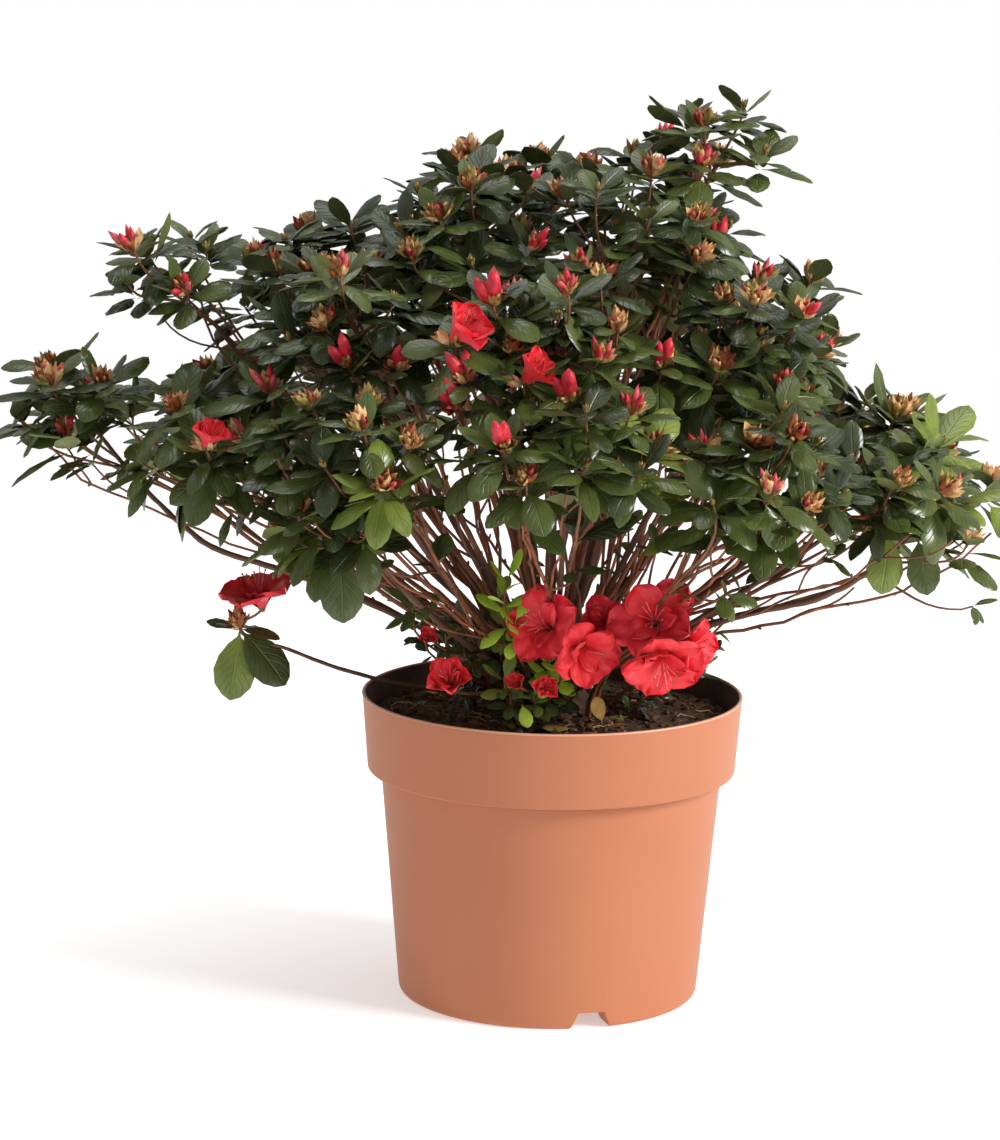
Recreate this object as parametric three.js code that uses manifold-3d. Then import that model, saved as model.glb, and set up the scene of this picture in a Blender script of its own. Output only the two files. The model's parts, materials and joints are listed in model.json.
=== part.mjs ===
// Azalea shrub in a tapered nursery pot.
// Millimetres, +Z up. The origin is the centre of the pot's flat underside and the front faces -Y.
// Bearings are degrees counter-clockwise from +X, seen from above, so the front is 270 and the left is 180.
// Limbs and foliage masses are cut clear of each other, so every solid is made in the group's own frame.

import * as THREE from 'three';
import { mergeVertices } from 'three/addons/utils/BufferGeometryUtils.js';
import Module from 'manifold-3d';

// ---- Driving dimensions ----

const CLEARANCE = 0.5;

const POT = {
  height: 169,
  rimRadius: 105,
  collarFootRadius: 101.5,
  collarFootHeight: 128,
  bodyTopRadius: 94,
  footRadius: 83,
  footRounding: 4,
  wall: 2,
  floor: 2.4,
  channelInner: 48,
  channelOuter: 64,
  channelHeight: 6,
  channelSlope: 3,
  segments: 32,
};

const NOTCH = { count: 3, firstBearing: 287, topWidth: 15, footWidth: 23, height: 9.5, inner: 56, skin: 1.8 };

const DRAIN = { count: 6, radius: 4.5, sides: 10 };

const SOIL = {
  foot: 12,
  footRadius: 80.5,
  edgeHeight: 156,
  middleHeight: 161,
  edgeRadius: 99.8,
  rings: [0.88, 0.62, 0.3],
  lump: 1.6,
  segments: 24,
};

const TRUNK = {
  foot: 161.6,
  top: 188,
  footRadius: 27,
  topRadius: 12.5,
  lean: 3,
  flutes: 5,
  fluteDepth: 0.1,
  sides: 15,
  steps: 3,
};

const LIMB = { sides: 6, steps: 4, rootRadius: 2.9, tipRadius: 1.7, entry: 0.35 };

// Where the limbs leave the trunk: steep ones from its top, spreading ones from its side.
const COLLARS = {
  top: { radius: 6, height: 190 },
  shoulder: { radius: 13, height: 186 },
  side: { radius: 18.5, height: 177 },
};

const MASS = { around: 10, rows: 6, unevenness: 0.17, flatUnderside: 0.75 };

// Each tier is a ring of masses round the crown, with one bough for each mass.
const TIERS = [
  {
    name: 'crest',
    count: 4,
    firstBearing: 38,
    reach: 59,
    sideStretch: 8,
    rightTuck: 0,
    height: 424,
    frontRise: 0,
    rightDrop: -7,
    leftDrop: 0,
    width: 116,
    depth: 96,
    thickness: 78,
    tilt: 8,
    collar: COLLARS.top,
    lift: 6,
  },
  {
    name: 'shoulder',
    count: 7,
    firstBearing: 12,
    reach: 132,
    sideStretch: 10,
    rightTuck: 22,
    height: 378,
    frontRise: -4,
    rightDrop: 14,
    leftDrop: -12,
    width: 112,
    depth: 92,
    thickness: 74,
    tilt: 24,
    collar: COLLARS.shoulder,
    lift: 5,
  },
  {
    name: 'skirt',
    count: 10,
    firstBearing: 20,
    reach: 172,
    sideStretch: 28,
    rightTuck: 8,
    height: 324,
    frontRise: 10,
    rightDrop: 33,
    leftDrop: 14,
    width: 112,
    depth: 86,
    thickness: 72,
    tilt: 14,
    collar: COLLARS.side,
    lift: -5,
  },
];

// Single sprays and low growth that stand out from the tiers. size is along X, Y and Z.
const OUTLIERS = [
  { name: 'top_right', at: [82, -4, 470], size: [82, 66, 46] },
  { name: 'upper_left', at: [-206, -18, 396], size: [86, 76, 52] },
  { name: 'far_left', at: [-260, -24, 326], size: [86, 70, 42] },
  { name: 'far_right', at: [214, -14, 280], size: [76, 68, 66] },
  { name: 'low_left', at: [-112, -138, 286], size: [74, 62, 62] },
  { name: 'runner_tip', at: [-170, 2, 196], size: [56, 50, 72] },
  { name: 'base', at: [32, -64, 204], size: [130, 52, 70], look: 'blossom' },
];

// Limbs that serve the outliers. A limb with a bend is two solids that meet there.
const OUTLIER_LIMBS = [
  { name: 'stem_top_right', collar: COLLARS.top, bearing: 350, to: 'top_right', lift: 4, root: 2.7 },
  { name: 'bough_upper_left', collar: COLLARS.shoulder, bearing: 197, to: 'upper_left', lift: -10, root: 3 },
  { name: 'bough_arch', collar: COLLARS.side, bearing: 192, to: 'far_left', bend: [-186, -32, 252], lifts: [7, -5], root: 3.4 },
  { name: 'bough_low_right', collar: COLLARS.side, bearing: 340, to: 'far_right', bend: [142, -34, 230], lifts: [7, -5], root: 3.3 },
  { name: 'bough_low_left', collar: COLLARS.side, bearing: 226, to: 'low_left', lift: -8, root: 2.6 },
  { name: 'runner', collar: { radius: 26, height: 166 }, bearing: 160, to: 'runner_tip', lift: -8, root: 1.9 },
];

// ---- Materials ----

function material(color, roughness) {
  return new THREE.MeshStandardMaterial({ color, roughness, metalness: 0 });
}

const MATERIALS = {
  clay: material(0xcc845f, 0.5),
  soil: material(0x2f2119, 1),
  bark: material(0x5b3a28, 0.85),
  foliage: material(0x35452a, 0.55),
  blossom: material(0xc9222c, 0.6),
};

// ---- Solids ----

const wasm = await Module();
wasm.setup();

function toSolid(geometry) {
  const bare = geometry.clone();
  bare.deleteAttribute('normal');
  bare.deleteAttribute('uv');
  const merged = mergeVertices(bare, 1e-3);
  const vertProperties = merged.attributes.position.array;
  const triVerts = new Uint32Array(merged.index.array);
  return new wasm.Manifold(new wasm.Mesh({ numProp: 3, vertProperties, triVerts }));
}

function toGeometry(solid) {
  const { vertProperties, triVerts } = solid.getMesh();
  const geometry = new THREE.BufferGeometry();
  geometry.setAttribute('position', new THREE.BufferAttribute(vertProperties, 3));
  geometry.setIndex(new THREE.BufferAttribute(triVerts, 1));
  geometry.computeVertexNormals();
  return geometry;
}

function largestPiece(solid) {
  const bySize = (a, b) => b.volume() - a.volume();
  return solid.decompose().sort(bySize)[0];
}

function boxesMeet(a, b) {
  const p = a.boundingBox();
  const q = b.boundingBox();
  return [0, 1, 2].every((k) => p.min[k] < q.max[k] && q.min[k] < p.max[k]);
}

// ---- Placing ----

function polar(bearing, reach, height) {
  const angle = THREE.MathUtils.degToRad(bearing);
  return new THREE.Vector3(reach * Math.cos(angle), reach * Math.sin(angle), height);
}

const group = new THREE.Group();
const growing = [];

// make(extra) gives the piece's geometry, swollen by extra all round.
// A growing piece is cut clear of every one placed before it.
function addGrowing(name, make, look) {
  const near = toSolid(make(0));
  const cut = (solid, other) => (boxesMeet(solid, other) ? solid.subtract(other) : solid);
  const clear = growing.reduce(cut, near);
  growing.push(toSolid(make(CLEARANCE)));
  addSolid(name, largestPiece(clear), look);
}

function addSolid(name, solid, look) {
  const mesh = new THREE.Mesh(toGeometry(solid), look);
  mesh.name = name;
  group.add(mesh);
}

// ---- Pot ----

function lathe(profile, segments) {
  const points = profile.map(([radius, height]) => new THREE.Vector2(radius, height));
  return toSolid(new THREE.LatheGeometry(points, segments).rotateX(Math.PI / 2));
}

function potOutside() {
  const { channelInner, channelOuter, channelHeight, channelSlope, footRadius, footRounding } = POT;
  return [
    [channelInner, 0],
    [channelInner + channelSlope, channelHeight],
    [channelOuter - channelSlope, channelHeight],
    [channelOuter, 0],
    [footRadius - footRounding, 0],
    [footRadius - footRounding * 0.3, footRounding * 0.3],
    [footRadius, footRounding],
    [POT.bodyTopRadius, POT.collarFootHeight - 2],
    [POT.collarFootRadius - 1.5, POT.collarFootHeight - 1],
    [POT.collarFootRadius, POT.collarFootHeight + 0.5],
    [POT.rimRadius - 0.4, POT.height - 3],
    [POT.rimRadius, POT.height],
  ];
}

function potInside() {
  const { channelInner, channelOuter, channelHeight, channelSlope, wall, floor } = POT;
  return [
    [POT.rimRadius - wall, POT.height],
    [POT.collarFootRadius - wall, POT.collarFootHeight + 1],
    [POT.bodyTopRadius - wall, POT.collarFootHeight - 1],
    [POT.footRadius - wall + 0.3, POT.footRounding + floor],
    [POT.footRadius - POT.footRounding, floor],
    [channelOuter + wall, floor],
    [channelOuter - channelSlope + wall, channelHeight + floor],
    [channelInner + channelSlope - wall, channelHeight + floor],
    [channelInner - wall, floor],
  ];
}

// A radial block with a trapezoid section, standing on or below the ground plane.
function radialBlock(bearing, inner, topWidth, footWidth, height, drop) {
  const slope = (footWidth - topWidth) / 2 / height;
  const half = footWidth / 2 + slope * drop;
  const section = new THREE.Shape();
  section.moveTo(-half, -drop);
  section.lineTo(half, -drop);
  section.lineTo(topWidth / 2, height);
  section.lineTo(-topWidth / 2, height);
  const block = new THREE.ExtrudeGeometry(section, { depth: POT.rimRadius - inner, bevelEnabled: false });
  block.rotateX(Math.PI / 2);
  block.rotateZ(Math.PI / 2);
  block.translate(inner, 0, 0);
  block.rotateZ(THREE.MathUtils.degToRad(bearing));
  return toSolid(block);
}

function pot() {
  const outside = potOutside();
  let solid = lathe([[0, 0], ...outside, ...potInside(), [0, POT.floor]], POT.segments);
  const envelope = lathe([[0, 0], ...outside, [0, POT.height]], POT.segments);
  const { skin, inner, topWidth, footWidth, height } = NOTCH;
  const bearings = Array.from({ length: NOTCH.count }, (_, i) => NOTCH.firstBearing + (i * 360) / NOTCH.count);
  for (const bearing of bearings) {
    const pocket = radialBlock(bearing, inner, topWidth + 2 * skin, footWidth + 2 * skin, height + skin, 0);
    solid = solid.add(pocket.intersect(envelope));
  }
  for (const bearing of bearings) {
    solid = solid.subtract(radialBlock(bearing, inner - skin, topWidth, footWidth, height, 1));
  }
  const drainReach = (POT.channelInner + POT.channelOuter) / 2;
  for (let i = 0; i < DRAIN.count; i += 1) {
    const middle = polar(NOTCH.firstBearing + 30 + (i * 360) / DRAIN.count, drainReach, POT.channelHeight);
    const hole = new THREE.CylinderGeometry(DRAIN.radius, DRAIN.radius, 4 * POT.floor, DRAIN.sides);
    solid = solid.subtract(toSolid(hole.rotateX(Math.PI / 2).translate(...middle)));
  }
  return solid;
}

// ---- Soil ----

function soil() {
  const rings = SOIL.rings.map((share) => {
    const mound = (SOIL.middleHeight - SOIL.edgeHeight) * (1 - share * share);
    return [SOIL.edgeRadius * share, SOIL.edgeHeight + mound];
  });
  const profile = [
    [0, SOIL.foot],
    [SOIL.footRadius, SOIL.foot],
    [POT.bodyTopRadius - POT.wall - 1.2, POT.collarFootHeight - 1],
    [POT.collarFootRadius - POT.wall - 1, POT.collarFootHeight + 2],
    [SOIL.edgeRadius, SOIL.edgeHeight],
    ...rings,
    [0, SOIL.middleHeight],
  ];
  const points = profile.map(([radius, height]) => new THREE.Vector2(radius, height));
  const geometry = new THREE.LatheGeometry(points, SOIL.segments).rotateX(Math.PI / 2);
  const position = geometry.attributes.position;
  for (let i = 0; i < position.count; i += 1) {
    const [x, y, z] = [position.getX(i), position.getY(i), position.getZ(i)];
    const reach = Math.hypot(x, y) / SOIL.edgeRadius;
    if (z > SOIL.edgeHeight - 1 && reach > 0.5 && reach < 0.95) {
      position.setZ(i, z + SOIL.lump * (Math.sin(x / 9) * Math.cos(y / 7) - 0.4));
    }
  }
  return toSolid(geometry);
}

// ---- Limbs ----

// A closed round bar along a curve. radiusAt(t, turn) gives its radius at t, from root 0 to tip 1.
function bar(curve, radiusAt, sides, steps) {
  const frames = curve.computeFrenetFrames(steps, false);
  const geometry = new THREE.CylinderGeometry(1, 1, 1, sides, steps);
  const position = geometry.attributes.position;
  const point = new THREE.Vector3();
  for (let i = 0; i < position.count; i += 1) {
    const t = THREE.MathUtils.clamp(position.getY(i) + 0.5, 0, 1);
    const k = Math.round(t * steps);
    const [x, z] = [position.getX(i), position.getZ(i)];
    const radius = radiusAt(t, Math.atan2(z, x));
    curve.getPointAt(t, point);
    point.addScaledVector(frames.normals[k], x * radius);
    point.addScaledVector(frames.binormals[k], -z * radius);
    position.setXYZ(i, point.x, point.y, point.z);
  }
  return geometry;
}

// The curve from one end to the other that rises by lift in its middle, made longer by extra at each end.
function sweep(from, to, lift, extra) {
  const way = to.clone().sub(from).normalize().multiplyScalar(extra);
  const middle = from.clone().lerp(to, 0.5).setZ((from.z + to.z) / 2 + 2 * lift);
  return new THREE.QuadraticBezierCurve3(from.clone().sub(way), middle, to.clone().add(way));
}

function trunk(extra) {
  const foot = new THREE.Vector3(0, 0, TRUNK.foot - extra);
  const upright = new THREE.Vector3(0, 0, (TRUNK.foot + TRUNK.top) / 2);
  const tip = new THREE.Vector3(TRUNK.lean, -TRUNK.lean, TRUNK.top + extra);
  const radiusAt = (t, turn) => {
    const flare = (1 - t) ** 2.2;
    const flute = 1 + TRUNK.fluteDepth * flare * Math.cos(TRUNK.flutes * turn);
    return (TRUNK.topRadius + (TRUNK.footRadius - TRUNK.topRadius) * flare) * flute + extra;
  };
  return bar(new THREE.QuadraticBezierCurve3(foot, upright, tip), radiusAt, TRUNK.sides, TRUNK.steps);
}

function limb(from, to, lift, rootRadius, tipRadius, extra) {
  const radiusAt = (t) => THREE.MathUtils.lerp(rootRadius, tipRadius, t) + extra;
  return bar(sweep(from, to, lift, extra), radiusAt, LIMB.sides, LIMB.steps);
}

// A limb ends a little way inside its mass, short of the middle.
function entryPoint(from, mass) {
  const inward = from.clone().sub(mass.at);
  inward.setLength(LIMB.entry * Math.min(...mass.size));
  return mass.at.clone().add(inward);
}

// ---- Foliage masses ----

function wave(direction, seed) {
  const { x, y, z } = direction;
  const swell = Math.sin(2.6 * x + 1.7 * seed) + Math.sin(3.1 * y + 2.3 * seed + 1);
  return (swell + Math.sin(3.7 * z + 2.9 * seed + 2) + Math.sin(5.3 * (x + y) + seed)) / 4;
}

function massGeometry(mass, seed, extra) {
  const geometry = new THREE.SphereGeometry(1, MASS.around, MASS.rows).rotateX(Math.PI / 2);
  const position = geometry.attributes.position;
  const direction = new THREE.Vector3();
  const [tilt, bearing] = [mass.tilt, mass.bearing].map(THREE.MathUtils.degToRad);
  const turn = new THREE.Euler(0, tilt, bearing, 'ZYX');
  for (let i = 0; i < position.count; i += 1) {
    direction.fromBufferAttribute(position, i);
    const swell = 1 + MASS.unevenness * wave(direction, seed);
    const below = direction.z < 0 ? MASS.flatUnderside : 1;
    const [width, depth, thickness] = mass.size.map((size) => (size / 2) * swell + extra / MASS.flatUnderside);
    direction.multiply(new THREE.Vector3(depth, width, thickness * below));
    direction.applyEuler(turn).add(mass.at);
    position.setXYZ(i, direction.x, direction.y, direction.z);
  }
  return geometry;
}

function tierMasses(tier) {
  return Array.from({ length: tier.count }, (_, i) => {
    const bearing = tier.firstBearing + (i * 360) / tier.count;
    const angle = THREE.MathUtils.degToRad(bearing);
    const front = Math.max(0, -Math.sin(angle));
    const right = Math.max(0, Math.cos(angle));
    const left = Math.max(0, -Math.cos(angle));
    const reach = tier.reach + tier.sideStretch * Math.cos(angle) ** 2 - tier.rightTuck * right;
    const height = tier.height + tier.frontRise * front - tier.rightDrop * right - tier.leftDrop * left;
    return {
      name: `${tier.name}_${i + 1}`,
      at: polar(bearing, reach, height),
      size: [tier.width, tier.depth, tier.thickness],
      bearing,
      tilt: tier.tilt,
    };
  });
}

// ---- Assembly ----

addSolid('pot', pot(), MATERIALS.clay);
addSolid('soil', soil(), MATERIALS.soil);
addGrowing('trunk', trunk, MATERIALS.bark);

const masses = [];

for (const tier of TIERS) {
  for (const mass of tierMasses(tier)) {
    const from = polar(mass.bearing, tier.collar.radius, tier.collar.height);
    const to = entryPoint(from, mass);
    const make = (extra) => limb(from, to, tier.lift, LIMB.rootRadius, LIMB.tipRadius, extra);
    addGrowing(`bough_${mass.name}`, make, MATERIALS.bark);
    masses.push(mass);
  }
}

for (const { name, at, size, look } of OUTLIERS) {
  const [alongX, alongY, alongZ] = size;
  masses.push({ name, at: new THREE.Vector3(...at), size: [alongY, alongX, alongZ], bearing: 0, tilt: 0, look });
}

for (const row of OUTLIER_LIMBS) {
  const mass = masses.find(({ name }) => name === row.to);
  const from = polar(row.bearing, row.collar.radius, row.collar.height);
  if (row.bend) {
    const bend = new THREE.Vector3(...row.bend);
    const to = entryPoint(bend, mass);
    const middle = (row.root + LIMB.tipRadius) / 2;
    const [innerLift, outerLift] = row.lifts;
    const inner = (extra) => limb(from, bend, innerLift, row.root, middle, extra);
    const outer = (extra) => limb(bend, to, outerLift, middle, LIMB.tipRadius, extra);
    addGrowing(`${row.name}_inner`, inner, MATERIALS.bark);
    addGrowing(`${row.name}_outer`, outer, MATERIALS.bark);
  } else {
    const tip = Math.min(LIMB.tipRadius, row.root * 0.7);
    const make = (extra) => limb(from, entryPoint(from, mass), row.lift, row.root, tip, extra);
    addGrowing(row.name, make, MATERIALS.bark);
  }
}

masses.forEach((mass, i) => {
  const look = MATERIALS[mass.look ?? 'foliage'];
  addGrowing(`foliage_${mass.name}`, (extra) => massGeometry(mass, i + 1, extra), look);
});

export default group;
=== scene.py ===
"""An azalea shrub in a nursery pot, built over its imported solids.

The limbs follow the solid boughs. Twigs, leaves, buds and blooms grow on from them by a seeded rule,
inside the solid foliage masses. Metres throughout, +Z up, with the front facing -Y.
"""

import json
import logging
import random
from collections.abc import Callable, Iterable, Sequence
from dataclasses import dataclass, field, replace
from enum import Enum, IntEnum, auto
from functools import cache
from math import atan2, cos, hypot, pi, radians, sin, sqrt, tau

import bmesh
import bpy
import numpy as np
from bpy.types import Material, Mesh, Node, NodeSocket, NodeTree, Object
from mathutils import Euler, Matrix, Vector, noise
from mathutils.bvhtree import BVHTree

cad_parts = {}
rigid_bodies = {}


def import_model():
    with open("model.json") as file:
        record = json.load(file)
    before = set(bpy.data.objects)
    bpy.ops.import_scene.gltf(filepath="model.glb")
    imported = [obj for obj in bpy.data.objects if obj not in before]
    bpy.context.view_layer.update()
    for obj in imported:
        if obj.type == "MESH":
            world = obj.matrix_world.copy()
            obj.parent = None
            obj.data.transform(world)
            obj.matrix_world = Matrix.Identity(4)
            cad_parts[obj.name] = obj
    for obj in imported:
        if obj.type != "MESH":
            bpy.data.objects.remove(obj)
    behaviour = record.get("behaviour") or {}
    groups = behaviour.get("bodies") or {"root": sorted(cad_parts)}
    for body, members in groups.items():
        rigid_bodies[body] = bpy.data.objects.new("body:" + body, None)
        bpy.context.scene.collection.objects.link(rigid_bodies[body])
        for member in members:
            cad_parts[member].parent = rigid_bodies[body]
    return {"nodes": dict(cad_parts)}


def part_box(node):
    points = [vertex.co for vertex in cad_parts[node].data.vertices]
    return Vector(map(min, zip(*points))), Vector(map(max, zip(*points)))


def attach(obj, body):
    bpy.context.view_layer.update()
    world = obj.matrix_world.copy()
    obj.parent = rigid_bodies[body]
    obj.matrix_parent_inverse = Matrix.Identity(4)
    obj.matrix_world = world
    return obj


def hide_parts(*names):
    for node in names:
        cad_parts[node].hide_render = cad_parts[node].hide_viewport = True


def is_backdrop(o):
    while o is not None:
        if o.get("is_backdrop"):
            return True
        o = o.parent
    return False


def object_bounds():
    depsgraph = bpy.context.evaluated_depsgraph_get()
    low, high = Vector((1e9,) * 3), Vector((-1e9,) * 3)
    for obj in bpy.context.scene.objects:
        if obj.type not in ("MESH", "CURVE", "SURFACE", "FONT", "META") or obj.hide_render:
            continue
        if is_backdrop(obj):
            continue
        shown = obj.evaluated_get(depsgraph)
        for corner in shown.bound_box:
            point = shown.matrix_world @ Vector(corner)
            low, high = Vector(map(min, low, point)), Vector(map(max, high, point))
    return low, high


logging.basicConfig(level=logging.INFO, format="%(name)s: %(message)s")
LOG = logging.getLogger("azalea")

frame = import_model()

MM = 0.001
GOLDEN_TURN = radians(137.5)
WAVER_SEED = 3
PETAL = 0.35 * MM
UP = Vector((0, 0, 1))
CROWN_HEART = Vector((-0.01, 0, 0.3))
FORK_HEIGHT = 180 * MM
TIP = 0.999
ALONG_BARK = 0.35

Colour = tuple[float, float, float]
Surface = Callable[[float, float], Vector]


def tint(red: int, green: int, blue: int) -> Colour:
    """Gives linear light for a display colour, its red, green and blue from 0 to 255."""
    shares = (value / 255 for value in (red, green, blue))
    return tuple(s / 12.92 if s < 0.04 else ((s + 0.055) / 1.055) ** 2.4 for s in shares)


def mix(a: float, b: float, share: float) -> float:
    """Blends two numbers, from a at share 0 to b at share 1."""
    return a + (b - a) * share


def level_way(turn: float) -> Vector:
    """Gives the level direction at a turn about +Z, in radians."""
    return Vector((cos(turn), sin(turn), 0))


def beside(axis: Vector, turn: float) -> Vector:
    """Gives a direction square to a unit axis, at a turn about it in radians."""
    side = axis.orthogonal().normalized()
    return side * cos(turn) + axis.cross(side) * sin(turn)


def jitter(chance: random.Random, amount: float) -> Vector:
    """Draws a shift of up to an amount either way along each axis."""
    return Vector([chance.uniform(-amount, amount) for _ in range(3)])


class Part(IntEnum):
    """The parts of a small shape that can have finishes of their own."""

    TOP = 0
    UNDER = 1
    CORE = 2
    THREAD = 3


class Tone(IntEnum):
    """How dark a shoot's leaves are."""

    DARK = 0
    MID = 1
    LIGHT = 2
    YOUNG = 3
    DRY = 4


class Stage(Enum):
    """What a shoot carries at its tip."""

    BARE = auto()
    TIGHT = auto()
    TIPPED = auto()
    SPINDLE = auto()
    HALF = auto()
    OPEN = auto()


# ---- Node trees ----


class Graph:
    """A node tree while it is wired up."""

    def __init__(self, tree: NodeTree) -> None:
        """Keeps the tree that nodes are added to."""
        self.tree = tree

    def add(self, kind: str, **settings: object) -> Node:
        """Adds a node.

        Args:
            kind: The node's type.
            settings: Values for the node's own properties.

        Returns:
            The node.
        """
        node = self.tree.nodes.new(kind)
        for name, value in settings.items():
            setattr(node, name, value)
        return node

    def connect(self, source: object, socket: NodeSocket) -> None:
        """Links a source to an input socket, or sets a plain value there.

        Args:
            source: An output socket or a plain value.
            socket: The input socket.
        """
        if isinstance(source, NodeSocket):
            self.tree.links.new(source, socket)
        else:
            socket.default_value = source

    def feed(self, node: Node, **sources: object) -> Node:
        """Sets or links a node's inputs.

        Args:
            node: The node whose inputs are set.
            sources: For each input's identifier, with its spaces as __, an output socket or a plain value.

        Returns:
            The same node.
        """
        for name, source in sources.items():
            wanted = name.replace("__", " ")
            self.connect(source, next(s for s in node.inputs if s.identifier == wanted))
        return node

    def use(self, tree: NodeTree, **sources: object) -> Node:
        """Places a shader group.

        Args:
            tree: The group.
            sources: For each input's name, an output socket or a plain value.

        Returns:
            The group's node.
        """
        node = self.add("ShaderNodeGroup", node_tree=tree)
        for name, source in sources.items():
            self.connect(source, node.inputs[name])
        return node

    def maths(self, operation: str, *terms: object) -> NodeSocket:
        """Works out a sum of sockets or numbers."""
        node = self.add("ShaderNodeMath", operation=operation)
        return self.feed(node, **dict(zip(("Value", "Value_001", "Value_002"), terms))).outputs[0]

    def noise(self, place: object, scale: object, detail: float) -> NodeSocket:
        """Adds a noise pattern over places."""
        return self.feed(self.add("ShaderNodeTexNoise"), Vector=place, Scale=scale, Detail=detail).outputs[0]

    def ramp(self, value: object, low: float, high: float, kind: str = "LINEAR") -> NodeSocket:
        """Stretches a value so that low becomes 0 and high becomes 1."""
        node = self.add("ShaderNodeMapRange", interpolation_type=kind)
        return self.feed(node, Value=value, From__Min=low, From__Max=high).outputs[0]

    def blend(self, share: object, low: object, high: object) -> NodeSocket:
        """Blends two colours by a share."""
        node = self.add("ShaderNodeMix", data_type="RGBA")
        self.feed(node, Factor_Float=share, A_Color=low, B_Color=high)
        return next(s for s in node.outputs if s.identifier == "Result_Color")

    def attribute(self, name: str, kind: str) -> NodeSocket:
        """Reads a named attribute of a data type in a geometry tree."""
        node = self.add("GeometryNodeInputNamedAttribute", data_type=kind)
        return self.feed(node, Name=name).outputs[0]

    def store(self, geometry: object, name: str, kind: str, value: object) -> NodeSocket:
        """Stores a value on a geometry's points under a name."""
        node = self.add("GeometryNodeStoreNamedAttribute", data_type=kind, domain="POINT")
        return self.feed(node, Geometry=geometry, Name=name, Value=value).outputs[0]


def group(name: str, kind: str, inputs: dict[str, str], outputs: dict[str, str]) -> tuple[Graph, Node, Node]:
    """Makes a node group with its sockets.

    Args:
        name: The group's name.
        kind: The tree's type.
        inputs: The input sockets' types by name.
        outputs: The output sockets' types by name.

    Returns:
        The graph, the group's input node and its output node.
    """
    tree = bpy.data.node_groups.new(name, kind)
    for side, sockets in (("INPUT", inputs), ("OUTPUT", outputs)):
        for label, socket in sockets.items():
            tree.interface.new_socket(label, in_out=side, socket_type=f"NodeSocket{socket}")
    graph = Graph(tree)
    return graph, graph.add("NodeGroupInput"), graph.add("NodeGroupOutput")


@cache
def patchy_group() -> NodeTree:
    """Makes the shader group that mottles two colours together over the plant.

    Returns:
        The group, with a colour and a fine height.
    """
    inputs = {"Place": "Vector", "Deep": "Color", "Bright": "Color", "Patches": "Float", "Grain": "Float"}
    graph, given, result = group("patchy", "ShaderNodeTree", inputs, {"Color": "Color", "Height": "Float"})
    place, deep, bright, patches, grain = given.outputs[:5]
    spread = graph.ramp(graph.noise(place, patches, 3.0), 0.34, 0.66)
    graph.connect(graph.blend(spread, deep, bright), result.inputs["Color"])
    graph.connect(graph.noise(place, grain, 5.0), result.inputs["Height"])
    return graph.tree


@cache
def veined_group() -> NodeTree:
    """Makes the shader group that draws a leaf's ribs from its own map.

    Returns:
        The group, with a colour and a height.
    """
    inputs, outputs = {"Blade": "Color", "Rib": "Color"}, {"Color": "Color", "Height": "Float"}
    graph, given, result = group("veined", "ShaderNodeTree", inputs, outputs)
    place = graph.add("ShaderNodeSeparateXYZ")
    graph.feed(place, Vector=graph.add("ShaderNodeUVMap", uv_map="UVMap").outputs[0])
    aside = graph.maths("ABSOLUTE", graph.maths("SUBTRACT", place.outputs[1], 0.5))
    midrib = graph.ramp(aside, 0.045, 0.012, "SMOOTHSTEP")
    along = graph.maths("MULTIPLY", place.outputs[0], 7.0)
    sweep = graph.maths("SUBTRACT", along, graph.maths("MULTIPLY", aside, 5.0))
    lateral = graph.ramp(graph.maths("PINGPONG", sweep, 0.5), 0.1, 0.0, "SMOOTHSTEP")
    lines = graph.maths("MAXIMUM", midrib, graph.maths("MULTIPLY", lateral, 0.5))
    colour = graph.blend(graph.maths("MULTIPLY", lines, 0.34), given.outputs["Blade"], given.outputs["Rib"])
    graph.connect(colour, result.inputs["Color"])
    graph.connect(graph.maths("SUBTRACT", 1.0, lines), result.inputs["Height"])
    return graph.tree


# ---- Finishes ----


@dataclass(frozen=True)
class Finish:
    """A finish with two colours mottled together and a fine relief."""

    name: str
    deep: Colour
    bright: Colour
    patches: float = 60
    grain: float = 900
    relief: float = 0
    roughness: float = 0.6
    sheen: float = 0
    along_bark: bool = False

    def material(self) -> Material:
        """Makes the material the first time it is asked for.

        Returns:
            The material.
        """
        if self.name in bpy.data.materials:
            return bpy.data.materials[self.name]
        made = bpy.data.materials.new(self.name)
        made.use_nodes = True
        graph = Graph(made.node_tree)
        shader = made.node_tree.nodes["Principled BSDF"]
        colour, height = self.pattern(graph)
        graph.feed(shader, Base__Color=colour, Roughness=self.roughness, Sheen__Weight=self.sheen)
        if self.relief:
            bump = graph.feed(graph.add("ShaderNodeBump"), Height=height, Strength=0.6, Distance=self.relief)
            graph.feed(shader, Normal=bump.outputs[0])
        made.diffuse_color = (*self.deep, 1)
        return made

    def pattern(self, graph: Graph) -> tuple[NodeSocket, NodeSocket]:
        """Adds the pattern's nodes.

        Args:
            graph: The material's graph.

        Returns:
            The colour's socket and the height's.
        """
        if self.along_bark:
            place = graph.add("ShaderNodeAttribute", attribute_name="bark").outputs["Vector"]
        else:
            place = graph.add("ShaderNodeTexCoord").outputs["Object"]
        shades = {"Deep": (*self.deep, 1), "Bright": (*self.bright, 1)}
        patchy = graph.use(patchy_group(), Place=place, Patches=self.patches, Grain=self.grain, **shades)
        return patchy.outputs["Color"], patchy.outputs["Height"]


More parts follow.
